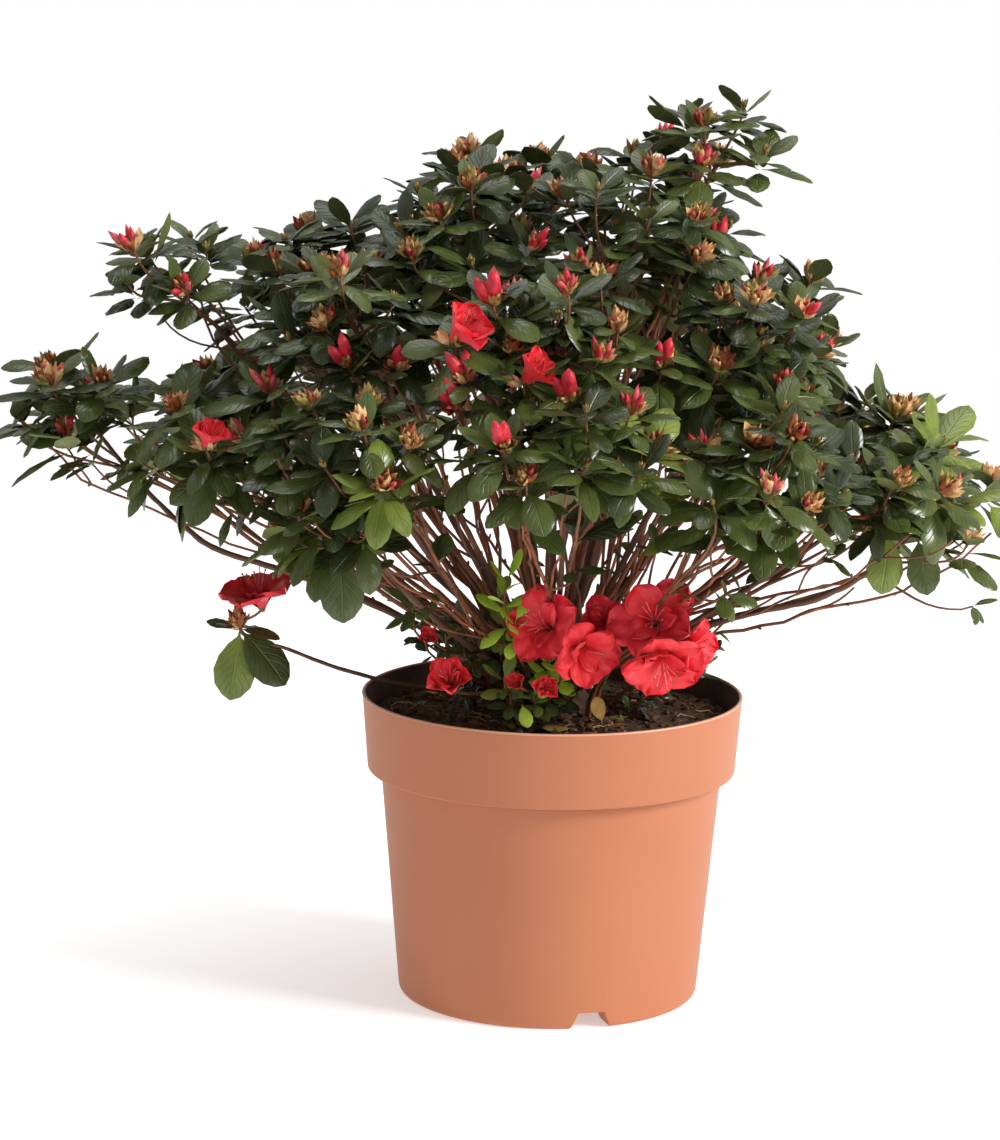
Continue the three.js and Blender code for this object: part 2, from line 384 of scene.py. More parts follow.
@dataclass(frozen=True)
class LeafFinish(Finish):
    """A leaf's finish: the mottled blade with a paler rib and veins."""

    rib: Colour = (0.1, 0.12, 0.04)

    def pattern(self, graph: Graph) -> tuple[NodeSocket, NodeSocket]:
        """Adds the veins over the mottled blade.

        Args:
            graph: The material's graph.

        Returns:
            The colour's socket and the height's.
        """
        blade, _ = super().pattern(graph)
        veined = graph.use(veined_group(), Blade=blade, Rib=(*self.rib, 1))
        return veined.outputs["Color"], veined.outputs["Height"]


# For each tone, the deep, bright and rib colours of the leaf's top and of its underside.
LEAF_TINTS = {
    Tone.DARK: (
        ((42, 51, 24), (60, 71, 36), (100, 106, 56)),
        ((84, 92, 50), (104, 108, 62), (130, 128, 70)),
    ),
    Tone.MID: (
        ((66, 79, 33), (84, 95, 44), (112, 122, 66)),
        ((104, 112, 58), (124, 128, 74), (146, 144, 86)),
    ),
    Tone.LIGHT: (
        ((104, 120, 46), (132, 146, 62), (156, 166, 92)),
        ((138, 152, 82), (160, 170, 104), (176, 180, 118)),
    ),
    Tone.YOUNG: (
        ((158, 196, 46), (190, 218, 72), (190, 214, 100)),
        ((160, 192, 76), (178, 206, 96), (190, 212, 116)),
    ),
    Tone.DRY: (
        ((150, 104, 46), (208, 164, 82), (210, 176, 100)),
        ((112, 80, 44), (150, 112, 62), (160, 126, 76)),
    ),
}


def leaf_finishes() -> list[list[Finish]]:
    """Lists the leaves' finishes, the tops of full-grown green leaves glossy and the rest matt.

    Returns:
        For each tone, the finish of the top and of the underside.
    """
    gloss, matt = {"relief": 0.0015, "roughness": 0.25}, {"relief": 0.0003, "roughness": 0.6}
    rows = []
    for tone, sides in LEAF_TINTS.items():
        row = []
        for back, tints in zip(("", "_under"), sides):
            deep, bright, rib = (tint(*colour) for colour in tints)
            feel = gloss if tone <= Tone.LIGHT and not back else matt
            row.append(LeafFinish(f"leaf_{tone.name.lower()}{back}", deep, bright, 70, rib=rib, **feel))
        rows.append(row)
    return rows


BRACTS = {
    "cream": (tint(196, 138, 82), tint(240, 202, 148)),
    "rust": (tint(112, 52, 28), tint(178, 98, 52)),
    "olive": (tint(120, 104, 50), tint(176, 156, 84)),
}

BUD_TIPS = {
    "straw": (tint(170, 116, 60), tint(220, 176, 112)),
    "pink": (tint(176, 44, 56), tint(222, 92, 98)),
    "red": (tint(168, 14, 30), tint(222, 36, 58)),
}


def bud_finishes() -> list[list[Finish]]:
    """Lists the buds' finishes.

    Returns:
        For each pairing of bract and tip colour, the finishes of scale, scale's back and tip.
    """
    rows = []
    for bract, (deep, bright) in BRACTS.items():
        scale = Finish(f"bract_{bract}", deep, bright, patches=320, roughness=0.5, relief=0.0002)
        for shade, (low, high) in BUD_TIPS.items():
            tip = Finish(f"bud_tip_{shade}", low, high, patches=260, roughness=0.45, sheen=0.1)
            rows.append([scale, scale, tip])
    return rows


def bloom_finishes() -> list[list[Finish]]:
    """Lists the blooms' finishes.

    Returns:
        For each shade of bloom, the finishes of petal, petal's back, calyx and stamens.
    """
    calyx = Finish("calyx", tint(98, 92, 44), tint(140, 110, 60), patches=300)
    thread = Finish("stamen", tint(206, 60, 78), tint(236, 120, 120), patches=300)
    velvet = {"patches": 90, "roughness": 0.5, "sheen": 0.12}
    crimson = Finish("petal_crimson", tint(230, 26, 44), tint(250, 58, 74), **velvet)
    scarlet = Finish("petal_scarlet", tint(218, 18, 32), tint(242, 42, 56), **velvet)
    return [[crimson, crimson, calyx, thread], [scarlet, scarlet, calyx, thread]]


# Each finish's two colours, how close its patches and its grain lie, its relief and its roughness.
BARK = Finish("bark", tint(70, 38, 22), tint(146, 86, 52), 140, 700, 0.0006, 0.75, along_bark=True)
BRANCH_BARK = replace(BARK, name="branch_bark", deep=tint(94, 49, 27), bright=tint(166, 98, 60), patches=160)
BRANCH_BARK = replace(BRANCH_BARK, grain=900, relief=0.0004, roughness=0.65)
TWIG_BARK = replace(BARK, name="twig_bark", deep=tint(92, 54, 32), bright=tint(156, 100, 62), patches=200)
TWIG_BARK = replace(TWIG_BARK, grain=1200, relief=0.0002, roughness=0.6)
ROOTLET = Finish("rootlet", tint(150, 112, 76), tint(200, 168, 122), 200, 900)
POT_PLASTIC = Finish("pot_plastic", tint(180, 107, 71), tint(187, 115, 77), 7, 1500, 0.00006, 0.54)
# The top of the lip is painted paler than the body, a painted highlight along the rim; its lower roughness is
# its own.
POT_LIP_HIGHLIGHT = Finish("pot_lip", tint(216, 160, 132), tint(224, 172, 146), 7, 1500, 0.00006, 0.4)
# The inner wall above the compost is dark brown.
POT_INSIDE = Finish("pot_inside", tint(56, 35, 25), tint(98, 60, 42), 30, 900, 0.0002, 0.8)
COMPOST = Finish("compost", tint(44, 29, 20), tint(98, 68, 48), 130, 900, 0.0012, 0.95)
CRUMB = Finish("crumb", tint(54, 37, 25), tint(136, 98, 70), 70, 900, 0.0005, 0.95)


# ---- Small shapes ----


class Shape:
    """A small mesh being drafted, with a part number for each face and a place on its map for each vertex."""

    def __init__(self) -> None:
        """Starts with no faces."""
        self.points: list[Vector] = []
        self.faces: list[tuple[int, ...]] = []
        self.parts: list[int] = []
        self.places: list[tuple[float, float]] = []

    def join(self, other: "Shape", turn: Matrix | None = None) -> None:
        """Adds another shape's faces.

        Args:
            other: The shape to add.
            turn: Where to put it, or nothing to leave it in place.
        """
        first = len(self.points)
        turn = turn or Matrix.Identity(4)
        self.points.extend(turn @ p for p in other.points)
        self.faces.extend(tuple(first + i for i in f) for f in other.faces)
        self.parts.extend(other.parts)
        self.places.extend(other.places)

    def plain(self, part: int) -> "Shape":
        """Gives every face one part number and every vertex the same place on the map.

        Args:
            part: The part number.

        Returns:
            The same shape.
        """
        self.parts = [part] * len(self.faces)
        self.places = [(0.5, 0.5)] * len(self.points)
        return self

    def mesh(self, name: str) -> Mesh:
        """Makes the mesh, shaded smooth with its folds left sharp.

        Args:
            name: The mesh's name.

        Returns:
            The mesh.
        """
        made = drafted(name, self.points, faces=self.faces)
        part = made.attributes.new("part", "INT", "FACE")
        part.data.foreach_set("value", self.parts)
        layer = made.uv_layers.new(name="UVMap")
        corners = [self.places[v] for face in self.faces for v in face]
        layer.data.foreach_set("uv", np.array(corners, np.float32).ravel())
        made.polygons.foreach_set("use_smooth", [True] * len(self.faces))
        draft = bmesh.new()
        draft.from_mesh(made)
        for edge in draft.edges:
            edge.smooth = len(edge.link_faces) == 2 and edge.calc_face_angle(0) < 1.1
        draft.to_mesh(made)
        draft.free()
        return made


def blade(surface: Surface, stations: Sequence[float], columns: int, thickness: float) -> Shape:
    """Makes a thin closed sheet, such as a leaf, petal or bud scale.

    Args:
        surface: Gives the top's point for a share along from 0 to 1 and a share across from -1 to 1.
        stations: The shares along at which rows of points lie.
        columns: How many faces lie across.
        thickness: The sheet's thickness.

    Returns:
        The shape, its rim shared by top and underside.
    """
    shape = Shape()
    width = columns + 1
    rows = len(stations)
    across = [2 * j / columns - 1 for j in range(width)]
    top = [[surface(t, s) for s in across] for t in stations]
    upper = [[i * width + j for j in range(width)] for i in range(rows)]
    for i, t in enumerate(stations):
        shape.points.extend(top[i])
        shape.places.extend((t, (s + 1) / 2) for s in across)
    lower = [row[:] for row in upper]
    for i in range(1, rows - 1):
        for j in range(1, columns):
            along = top[i + 1][j] - top[i - 1][j]
            side = top[i][j + 1] - top[i][j - 1]
            lower[i][j] = len(shape.points)
            shape.points.append(top[i][j] - along.cross(side).normalized() * thickness)
            shape.places.append((stations[i], (across[j] + 1) / 2))
    for i in range(rows - 1):
        for j in range(columns):
            corners = ((i, j), (i + 1, j), (i + 1, j + 1), (i, j + 1))
            for half in ((0, 1, 2), (0, 2, 3)):
                shape.faces.append(tuple(upper[corners[k][0]][corners[k][1]] for k in half))
                shape.faces.append(tuple(lower[corners[k][0]][corners[k][1]] for k in reversed(half)))
                shape.parts.extend((Part.TOP, Part.UNDER))
    return shape


def spindle(radius: float, foot: float, top: float, part: int, sides: int = 6) -> Shape:
    """Makes a closed body pointed at both ends, along +Z.

    Args:
        radius: Its largest radius.
        foot: The height of its lower point.
        top: The height of its upper point.
        part: Its part number.
        sides: How many sides it has.

    Returns:
        The shape.
    """
    shape = Shape()
    belts = ((0.14, 0.62), (0.42, 1.0), (0.74, 0.72))
    for share, girth in belts:
        for k in range(sides):
            spoke = level_way(k * tau / sides) * radius * girth
            shape.points.append(spoke + UP * mix(foot, top, share))
    ends = len(shape.points)
    shape.points.extend((UP * foot, UP * top))
    for k in range(sides):
        following = (k + 1) % sides
        shape.faces.append((ends, following, k))
        for belt in range(len(belts) - 1):
            low, high = belt * sides, (belt + 1) * sides
            shape.faces.append((low + k, low + following, high + following, high + k))
        last = (len(belts) - 1) * sides
        shape.faces.append((last + k, last + following, ends + 1))
    return shape.plain(part)


def thread(points: Sequence[Vector], radius: float, part: int) -> Shape:
    """Makes a thin three-sided closed thread.

    Args:
        points: Its centre line.
        radius: Its radius.
        part: Its part number.

    Returns:
        The shape.
    """
    shape = Shape()
    for i, point in enumerate(points):
        ahead = (points[min(i + 1, len(points) - 1)] - points[max(i - 1, 0)]).normalized()
        shape.points.extend(point + beside(ahead, k * tau / 3) * radius for k in range(3))
    for i in range(len(points) - 1):
        for k in range(3):
            a, b = i * 3 + k, i * 3 + (k + 1) % 3
            shape.faces.append((a, b, b + 3, a + 3))
    shape.faces.extend(((2, 1, 0), tuple(len(shape.points) - 3 + k for k in range(3))))
    return shape.plain(part)


@dataclass(frozen=True)
class LeafForm:
    """One form of leaf, of length 1 along +X with its top facing +Z."""

    arch: float
    fold: float
    twist: float
    breadth: float
    fullest: float = 1.26
    curl: float = 0.45
    stalk: float = 0.09

    def half_width(self, along: float) -> float:
        """Gives the blade's half width at a share of its length."""
        share = max(0.0, (along - self.stalk) / (1 - self.stalk))
        return max(0.012, self.breadth * sin(pi * share**self.fullest) ** 0.58)

    def surface(self, along: float, across: float) -> Vector:
        """Gives a point of the leaf's top.

        Args:
            along: The share of the leaf's length.
            across: The share of its half width, from -1 to 1.

        Returns:
            The point.
        """
        width = self.half_width(along)
        turn = self.arch * along
        spine = Vector((sin(turn), 0, cos(turn) - 1)) / self.arch
        normal = Vector((sin(turn), 0, cos(turn)))
        away = abs(across)
        lift = width * (self.fold * away - self.curl * away**3)
        lift += width * 0.07 * away * sin(13 * along + 2 * across)
        roll = self.twist * along
        side = across * width * (1 - 0.12 * self.fold)
        sideways = side * cos(roll) - lift * sin(roll)
        upwards = side * sin(roll) + lift * cos(roll)
        return spine + Vector((0, sideways, 0)) + normal * upwards

    def shape(self) -> Shape:
        """Makes the leaf, with closer rows towards its ends."""
        return blade(self.surface, (0, 0.1, 0.22, 0.4, 0.6, 0.8, 0.94, 1), 4, 0.012)


# Each form's arch, fold, twist and breadth.
LEAF_FORMS = (
    LeafForm(0.35, 0.3, 0.12, 0.28),
    LeafForm(0.6, 0.36, -0.2, 0.26),
    LeafForm(0.85, 0.26, 0.25, 0.275),
    LeafForm(0.2, 0.42, -0.1, 0.24),
    LeafForm(0.5, 0.22, 0.3, 0.3, fullest=1.3),
    LeafForm(1.1, 0.3, -0.3, 0.255),
    LeafForm(-0.25, 0.45, 0.15, 0.24),
    LeafForm(0.4, 0.5, 0.1, 0.195, fullest=1.05),
)


@dataclass(frozen=True)
class PetalForm:
    """A petal or scale that rises from a ring round +Z and leans away from it."""

    foot: float
    base: float
    length: float
    lean_start: float
    lean_end: float
    breadth: float
    fullest: float = 1.5
    cup: float = 0.5
    ruffle: float = 0.0
    phase: float = 0.0

    def surface(self, along: float, across: float) -> Vector:
        """Gives a point of the face that looks at the axis.

        Args:
            along: The share of its length.
            across: The share of its half width, from -1 to 1.

        Returns:
            The point.
        """
        bend = self.lean_end - self.lean_start
        lean = self.lean_start + bend * along
        reach = self.foot + self.length * (cos(self.lean_start) - cos(lean)) / bend
        height = self.base + self.length * (sin(lean) - sin(self.lean_start)) / bend
        full = sin(pi * along**self.fullest) ** 0.6 if along < 1 else 0
        width = self.length * max(0.02, 0.12 * (1 - along) + self.breadth * full)
        inward = Vector((-cos(lean), 0, sin(lean)))
        lift = self.cup * width * across * across
        lift += self.ruffle * self.length * along * sin(7.5 * across + self.phase + 4 * along)
        return Vector((reach, width * across, height)) + inward * lift

    def shape(self, rows: int, columns: int, thickness: float) -> Shape:
        """Makes the petal, with a count of faces along and across."""
        return blade(self.surface, [i / rows for i in range(rows + 1)], columns, thickness)


def ring(make: Callable[[int], Shape], count: int, step: float) -> Shape:
    """Sets shapes round +Z.

    Args:
        make: Gives the shape for a number.
        count: How many there are.
        step: The turn from one to the next, in radians.

    Returns:
        The joined shape.
    """
    whole = Shape()
    for k in range(count):
        whole.join(make(k), Matrix.Rotation(k * step, 4, "Z"))
    return whole


def bud_shape(scales: int, reach: float, core_radius: float, core_top: float) -> Shape:
    """Makes a bud of length 1 along +Z: overlapping scales round a core.

    Args:
        scales: How many scales it has.
        reach: The length of the lowest scale.
        core_radius: The core's radius.
        core_top: The height of the core's point.

    Returns:
        The shape.
    """

    def scale(k: int) -> Shape:
        """Makes one scale, longer and higher than the one before."""
        lean = -0.25 + 0.1 * (k % 3)
        form = PetalForm(0.03, 0.02 * k, reach + 0.05 * k, 0.75, lean, 0.19, fullest=0.9, cup=0.6)
        return form.shape(3, 2, 0.02)

    whole = ring(scale, scales, GOLDEN_TURN)
    whole.join(spindle(core_radius, 0.0, core_top, Part.CORE))
    return whole


BUD_SHAPES = {
    "plump": bud_shape(6, 0.66, 0.16, 0.9),
    "slim": bud_shape(5, 0.76, 0.12, 0.96),
    "showing": bud_shape(5, 0.52, 0.16, 1.1),
    "long": bud_shape(4, 0.3, 0.17, 1.0),
}


def bloom_shape(spread: float, seed: int) -> Shape:
    """Makes a bloom that looks along +Z.

    Args:
        spread: How far it has opened, from 0 to 1.
        seed: Picks its ruffles.

    Returns:
        The shape, at life size.
    """
    chance = random.Random(seed)
    length = mix(26, 31, spread) * MM

    def lobe(_: int) -> Shape:
        """Makes one of the five outer petals."""
        form = PetalForm(
            foot=2.5 * MM,
            base=0,
            length=length * chance.uniform(0.93, 1.06),
            lean_start=mix(0.28, 0.42, spread),
            lean_end=mix(0.45, 1.65, spread) + chance.uniform(-0.35, 0.4) * mix(0.7, 1, spread),
            breadth=mix(0.27, 0.4, spread),
            cup=mix(0.95, 0.1, spread) + chance.uniform(-0.1, 0.15),
            fullest=1.7,
            ruffle=mix(0.035, 0.08, spread) * chance.uniform(0.8, 1.2),
            phase=chance.uniform(0, 6),
        )
        return form.shape(8, 8, PETAL)

    whole = ring(lobe, 5, tau / 5)

    def inner(_: int) -> Shape:
        """Makes one of the two short petals in the throat."""
        lean = mix(0.35, 1.25, spread) + chance.uniform(-0.2, 0.2)
        form = PetalForm(2 * MM, 1 * MM, length * chance.uniform(0.72, 0.86), 0.2, lean, 0.3)
        form = replace(form, cup=0.3, ruffle=0.09, phase=chance.uniform(0, 6))
        return form.shape(6, 6, PETAL)

    whole.join(ring(inner, 2, 2.4), Matrix.Rotation(0.6, 4, "Z"))
    for k in range(8):
        turn = k * tau / 8 + chance.uniform(-0.2, 0.2)
        out = level_way(turn)
        reach = chance.uniform(22, 28) * MM
        line = [out * reach * 0.3 * t * t + UP * reach * t for t in (0, 0.35, 0.7, 1)]
        whole.join(thread(line, 0.4 * MM, Part.THREAD))
        whole.join(spindle(0.7 * MM, -1 * MM, 1.2 * MM, Part.CORE, 4), Matrix.Translation(line[-1]))
    sepal = PetalForm(1.5 * MM, -4 * MM, 8 * MM, 0.5, 0.1, 0.26, fullest=1.0)
    whole.join(ring(lambda _: sepal.shape(3, 2, 0.3 * MM).plain(Part.CORE), 5, tau / 5))
    return whole


# ---- Meshes and pieces ----


def drafted(name: str, points: Iterable[Vector], edges: Iterable = (), faces: Iterable = ()) -> Mesh:
    """Makes a mesh.

    Args:
        name: The mesh's name.
        points: Its points.
        edges: Pairs of point numbers.
        faces: The point numbers of each face.

    Returns:
        The mesh.
    """
    mesh = bpy.data.meshes.new(name)
    mesh.from_pydata([tuple(p) for p in points], list(edges), list(faces))
    return mesh


def placed(name: str, data: bpy.types.ID) -> Object:
    """Makes an object and links it to the scene.

    Args:
        name: The object's name.
        data: Its mesh, lamp or camera.

    Returns:
        The object.
    """
    piece = bpy.data.objects.new(name, data)
    bpy.context.scene.collection.objects.link(piece)
    return piece


def settle(piece: Object) -> None:
    """Turns what an object's modifiers make of it into its own plain mesh.

    Args:
        piece: The object.
    """
    bpy.context.view_layer.update()
    result = piece.evaluated_get(bpy.context.evaluated_depsgraph_get())
    mesh = bpy.data.meshes.new_from_object(result)
    mesh.name = piece.name
    piece.modifiers.clear()
    piece.data = mesh


def smooth(piece: Object) -> Object:
    """Shades a piece smooth all over and gives it back."""
    piece.data.polygons.foreach_set("use_smooth", [True] * len(piece.data.polygons))
    return piece


def lie(along: Vector, top: Vector) -> Euler:
    """Turns a shape so that +X runs along a direction and +Z is as near as it can be to the top.

    Args:
        along: Where +X goes.
        top: Where +Z should look.

    Returns:
        The turn.
    """
    x = along.normalized()
    y = top.cross(x)
    y = y.normalized() if y.length > 1e-6 else x.orthogonal().normalized()
    return Matrix((x, y, x.cross(y))).transposed().to_euler()


def stand(axis: Vector, spin: float) -> Euler:
    """Turns a shape so that +Z runs along an axis.

    Args:
        axis: Where +Z goes.
        spin: The turn about it, in radians.

    Returns:
        The turn.
    """
    z = axis.normalized()
    side = beside(z, spin)
    return Matrix((side, z.cross(side), z)).transposed().to_euler()


@dataclass
class Place:
    """Where one copy of a shape goes and what it looks like."""

    at: Vector
    turn: Euler
    size: Vector
    shape: int
    finish: int


def made_piece(mesh: Mesh, tree: NodeTree, values: dict) -> Object:
    """Runs a geometry tree on a mesh and keeps the result as a plain mesh.

    Args:
        mesh: The mesh that the tree starts from, with the piece's name.
        tree: The geometry tree.
        values: The tree's inputs by name.

    Returns:
        The piece.
    """
    piece = placed(mesh.name, mesh)
    modifier = piece.modifiers.new(tree.name, "NODES")
    modifier.node_group = tree
    for item in tree.interface.items_tree:
        if item.item_type == "SOCKET" and item.in_out == "INPUT" and item.name in values:
            modifier[item.identifier] = values[item.name]
    piece.update_tag()
    settle(piece)
    drop_unused(piece)
    return piece


def keep(mesh: Mesh, name: str, kind: str, values: Iterable) -> None:
    """Stores an attribute on a mesh's points.

    Args:
        mesh: The mesh.
        name: The attribute's name.
        kind: Its data type.
        values: One value for each point.
    """
    layer = mesh.attributes.new(name, kind, "POINT")
    vectors = kind == "FLOAT_VECTOR"
    flat = np.array([tuple(v) if vectors else v for v in values])
    flat = flat.astype(np.int32 if kind == "INT" else np.float32)
    layer.data.foreach_set("vector" if vectors else "value", flat.ravel())


@dataclass
class Scatter:
    """Copies of small shapes, each with a finish of its own, joined into one piece."""

    shapes: list[Shape]
    finishes: list[list[Finish]]
    places: dict[str, list[Place]] = field(default_factory=dict)

    def put(self, piece: str, place: Place) -> None:
        """Adds a copy to the piece of a name."""
        self.places.setdefault(piece, []).append(place)

    def build(self) -> dict[str, Object]:
        """Makes the pieces.

        Returns:
            The pieces by name.
        """
        kit = bpy.data.collections.new("kit")
        bpy.context.scene.collection.children.link(kit)
        for number, shape in enumerate(self.shapes):
            kit.objects.link(bpy.data.objects.new(f"kit_{number:02d}", shape.mesh(f"kit_{number:02d}")))
        tree = self.tree()
        values = {"Shapes": kit}
        for number, row in enumerate(self.finishes):
            values |= {f"Finish {number} {part}": finish.material() for part, finish in enumerate(row)}
        pieces = {}
        for name, places in self.places.items():
            mesh = drafted(name, [p.at for p in places])
            for label in ("turn", "size"):
                keep(mesh, label, "FLOAT_VECTOR", (getattr(p, label) for p in places))
            for label in ("shape", "finish"):
                keep(mesh, label, "INT", (int(getattr(p, label)) for p in places))
            pieces[name] = made_piece(mesh, tree, values)
        for item in list(kit.objects):
            bpy.data.objects.remove(item)
        bpy.data.collections.remove(kit)
        return pieces

    def tree(self) -> NodeTree:
        """Makes the tree that sets the shapes on the points.

        Returns:
            The geometry tree.
        """
        inputs = {"Places": "Geometry", "Shapes": "Collection"}
        for number, row in enumerate(self.finishes):
            inputs |= {f"Finish {number} {part}": "Material" for part in range(len(row))}
        graph, given, result = group("place_shapes", "GeometryNodeTree", inputs, {"Growth": "Geometry"})
        kit = graph.feed(graph.add("GeometryNodeCollectionInfo"), Collection=given.outputs["Shapes"])
        graph.feed(kit, Separate__Children=True, Reset__Children=True)
        turn = graph.add("FunctionNodeEulerToRotation")
        graph.feed(turn, Euler=graph.attribute("turn", "FLOAT_VECTOR"))
        copies = graph.add("GeometryNodeInstanceOnPoints")
        graph.feed(copies, Points=given.outputs["Places"], Instance=kit.outputs[0], Pick__Instance=True)
        graph.feed(copies, Instance__Index=graph.attribute("shape", "INT"), Rotation=turn.outputs[0])
        graph.feed(copies, Scale=graph.attribute("size", "FLOAT_VECTOR"))
        real = graph.feed(graph.add("GeometryNodeRealizeInstances"), Geometry=copies.outputs[0])
        geometry = real.outputs[0]
        for number, row in enumerate(self.finishes):
            chosen = self.equals(graph, "finish", number)
            for part in range(len(row)):
                both = graph.add("FunctionNodeBooleanMath", operation="AND")
                graph.connect(chosen, both.inputs[0])
                graph.connect(self.equals(graph, "part", part), both.inputs[1])
                dress = graph.add("GeometryNodeSetMaterial")
                graph.feed(dress, Geometry=geometry, Selection=both.outputs[0])
                graph.feed(dress, Material=given.outputs[f"Finish {number} {part}"])
                geometry = dress.outputs[0]
        graph.connect(geometry, result.inputs[0])
        return graph.tree

    @staticmethod
    def equals(graph: Graph, name: str, number: int) -> NodeSocket:
        """Tests whether a whole-number attribute has a value."""
        test = graph.add("FunctionNodeCompare", data_type="INT", operation="EQUAL")
        return graph.feed(test, A_INT=graph.attribute(name, "INT"), B_INT=number).outputs[0]


def drop_unused(piece: Object) -> None:
    """Drops the material slots that no face of a piece uses.

    Args:
        piece: The piece.
    """
    mesh = piece.data
    numbers = np.zeros(len(mesh.polygons), np.int32)
    mesh.polygons.foreach_get("material_index", numbers)
    used = [int(n) for n in np.unique(numbers)]
    materials = [mesh.materials[n] for n in used]
    mesh.materials.clear()
    for material in materials:
        mesh.materials.append(material)
    order = {old: new for new, old in enumerate(used)}
    mesh.polygons.foreach_set("material_index", [order[int(n)] for n in numbers])


@dataclass
class Line:
    """A limb's centre line and its radius at each point."""

    points: list[Vector]
    girths: list[float]

    def at(self, share: float) -> tuple[Vector, Vector, float]:
        """Looks along the line.

        Args:
            share: How far along it, from 0 to 1.

        Returns:
            The point, the direction there and the radius.
        """
        place = min(max(share, 0.0), 0.9999) * (len(self.points) - 1)
        i = int(place)
        a, b = self.points[i], self.points[i + 1]
        return a.lerp(b, place - i), (b - a).normalized(), mix(self.girths[i], self.girths[i + 1], place - i)


def curve(
    start: Vector, leave: Vector, arrive: Vector, end: Vector, girths: tuple[float, float], steps: int
) -> Line:
    """Makes a line that leaves and arrives in given directions.

    Args:
        start: Its first point.
        leave: The direction it leaves in.
        arrive: The direction it arrives in.
        end: Its last point.
        girths: Its radius at the start and at the end.
        steps: How many pieces it has.

    Returns:
        The line.
    """
    reach = (end - start).length
    one = start + leave.normalized() * reach * 0.36
    two = end - arrive.normalized() * reach * 0.36
    points = []
    for k in range(steps + 1):
        t = k / steps
        s = 1 - t
        points.append(start * s**3 + one * 3 * s * s * t + two * 3 * s * t * t + end * t**3)
    return Line(points, [mix(*girths, k / steps) for k in range(steps + 1)])


def smoothed(points: Sequence[Vector], girths: Sequence[float], steps: int) -> Line:
    """Runs a smooth line through points.

    Args:
        points: The points.
        girths: The radius at each.
        steps: How many pieces lie between two of the points.

    Returns:
        The line.
    """
    line, radii = [], []
    for i in range(len(points) - 1):
        a, b, c, d = (points[min(max(i + k, 0), len(points) - 1)] for k in (-1, 0, 1, 2))
        for k in range(steps):
            t = k / steps
            bend = (c - a) * t + (2 * a - 5 * b + 4 * c - d) * t * t + (3 * b - a - 3 * c + d) * t**3
            line.append(b + bend * 0.5)
            radii.append(mix(girths[i], girths[i + 1], t))
    return Line([*line, points[-1]], [*radii, girths[-1]])


@dataclass
class Tubes:
    """Round limbs swept along lines by one geometry tree."""

    name: str
    finish: Finish
    sides: int
    relief: float
    lines: list[Line] = field(default_factory=list)

    def build(self) -> Object:
        """Sweeps the limbs.

        Returns:
            The piece.
        """
        points, edges, girths = [], [], []
        for line in self.lines:
            first = len(points)
            points.extend(line.points)
            girths.extend(line.girths)
            edges.extend((k, k + 1) for k in range(first, len(points) - 1))
        mesh = drafted(self.name, points, edges)
        keep(mesh, "girth", "FLOAT", girths)
        values = {"Sides": self.sides, "Relief": self.relief, "Bark": self.finish.material()}
        return made_piece(mesh, self.tree(), values)

    @staticmethod
    @cache
    def tree() -> NodeTree:
        """Makes the tree that sweeps a circle along the lines and roughens it.

        Returns:
            The geometry tree.
        """
        inputs = {"Lines": "Geometry", "Sides": "Int", "Relief": "Float", "Bark": "Material"}
        graph, given, result = group("sweep_limbs", "GeometryNodeTree", inputs, {"Limbs": "Geometry"})
        rail = graph.feed(graph.add("GeometryNodeMeshToCurve"), Mesh=given.outputs["Lines"])
        length = graph.add("GeometryNodeSplineParameter").outputs["Length"]
        travel = graph.store(rail.outputs[0], "travel", "FLOAT", length)
        circle = graph.add("GeometryNodeCurvePrimitiveCircle", mode="RADIUS")
        graph.feed(circle, Resolution=given.outputs["Sides"], Radius=1.0)
        place = graph.add("GeometryNodeInputPosition").outputs[0]
        around = graph.store(circle.outputs[0], "around", "FLOAT_VECTOR", place)
        girth = graph.attribute("girth", "FLOAT")
        swept = graph.add("GeometryNodeCurveToMesh")
        graph.feed(swept, Curve=travel, Profile__Curve=around, Scale=girth, Fill__Caps=True)
        split = graph.add("ShaderNodeSeparateXYZ")
        graph.feed(split, Vector=graph.attribute("around", "FLOAT_VECTOR"))
        spot = graph.add("ShaderNodeCombineXYZ")
        graph.feed(spot, X=graph.maths("MULTIPLY", split.outputs[0], girth))
        graph.feed(spot, Y=graph.maths("MULTIPLY", split.outputs[1], girth))
        graph.feed(spot, Z=graph.maths("MULTIPLY", graph.attribute("travel", "FLOAT"), ALONG_BARK))
        bark = graph.store(swept.outputs[0], "bark", "FLOAT_VECTOR", spot.outputs[0])
        uneven = graph.maths("SUBTRACT", graph.noise(place, 260.0, 2.0), 0.5)
        swell = graph.maths("MULTIPLY", graph.maths("MULTIPLY", uneven, given.outputs["Relief"]), girth)
        outward = graph.add("ShaderNodeVectorMath", operation="SCALE")
        graph.feed(outward, Vector=graph.add("GeometryNodeInputNormal").outputs[0], Scale=swell)
        moved = graph.feed(graph.add("GeometryNodeSetPosition"), Geometry=bark, Offset=outward.outputs[0])
        soft = graph.feed(graph.add("GeometryNodeSetShadeSmooth"), Geometry=moved.outputs[0])
        real = graph.feed(graph.add("GeometryNodeRealizeInstances"), Geometry=soft.outputs[0])
        dress = graph.add("GeometryNodeSetMaterial")
        graph.feed(dress, Geometry=real.outputs[0], Material=given.outputs["Bark"])
        graph.connect(dress.outputs[0], result.inputs[0])
        return graph.tree


def hand_over(piece: Object, slot: str, *nodes: str) -> None:
    """Attaches a piece to the root body and hides the solids that it stands for.

    Args:
        piece: The piece.
        slot: Not used.
        nodes: The solids that it stands for.
    """
    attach(piece, "root")
    if nodes:
        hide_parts(*nodes)
    LOG.info("%s: %d faces, standing for %d solids", piece.name, len(piece.data.polygons), len(nodes))


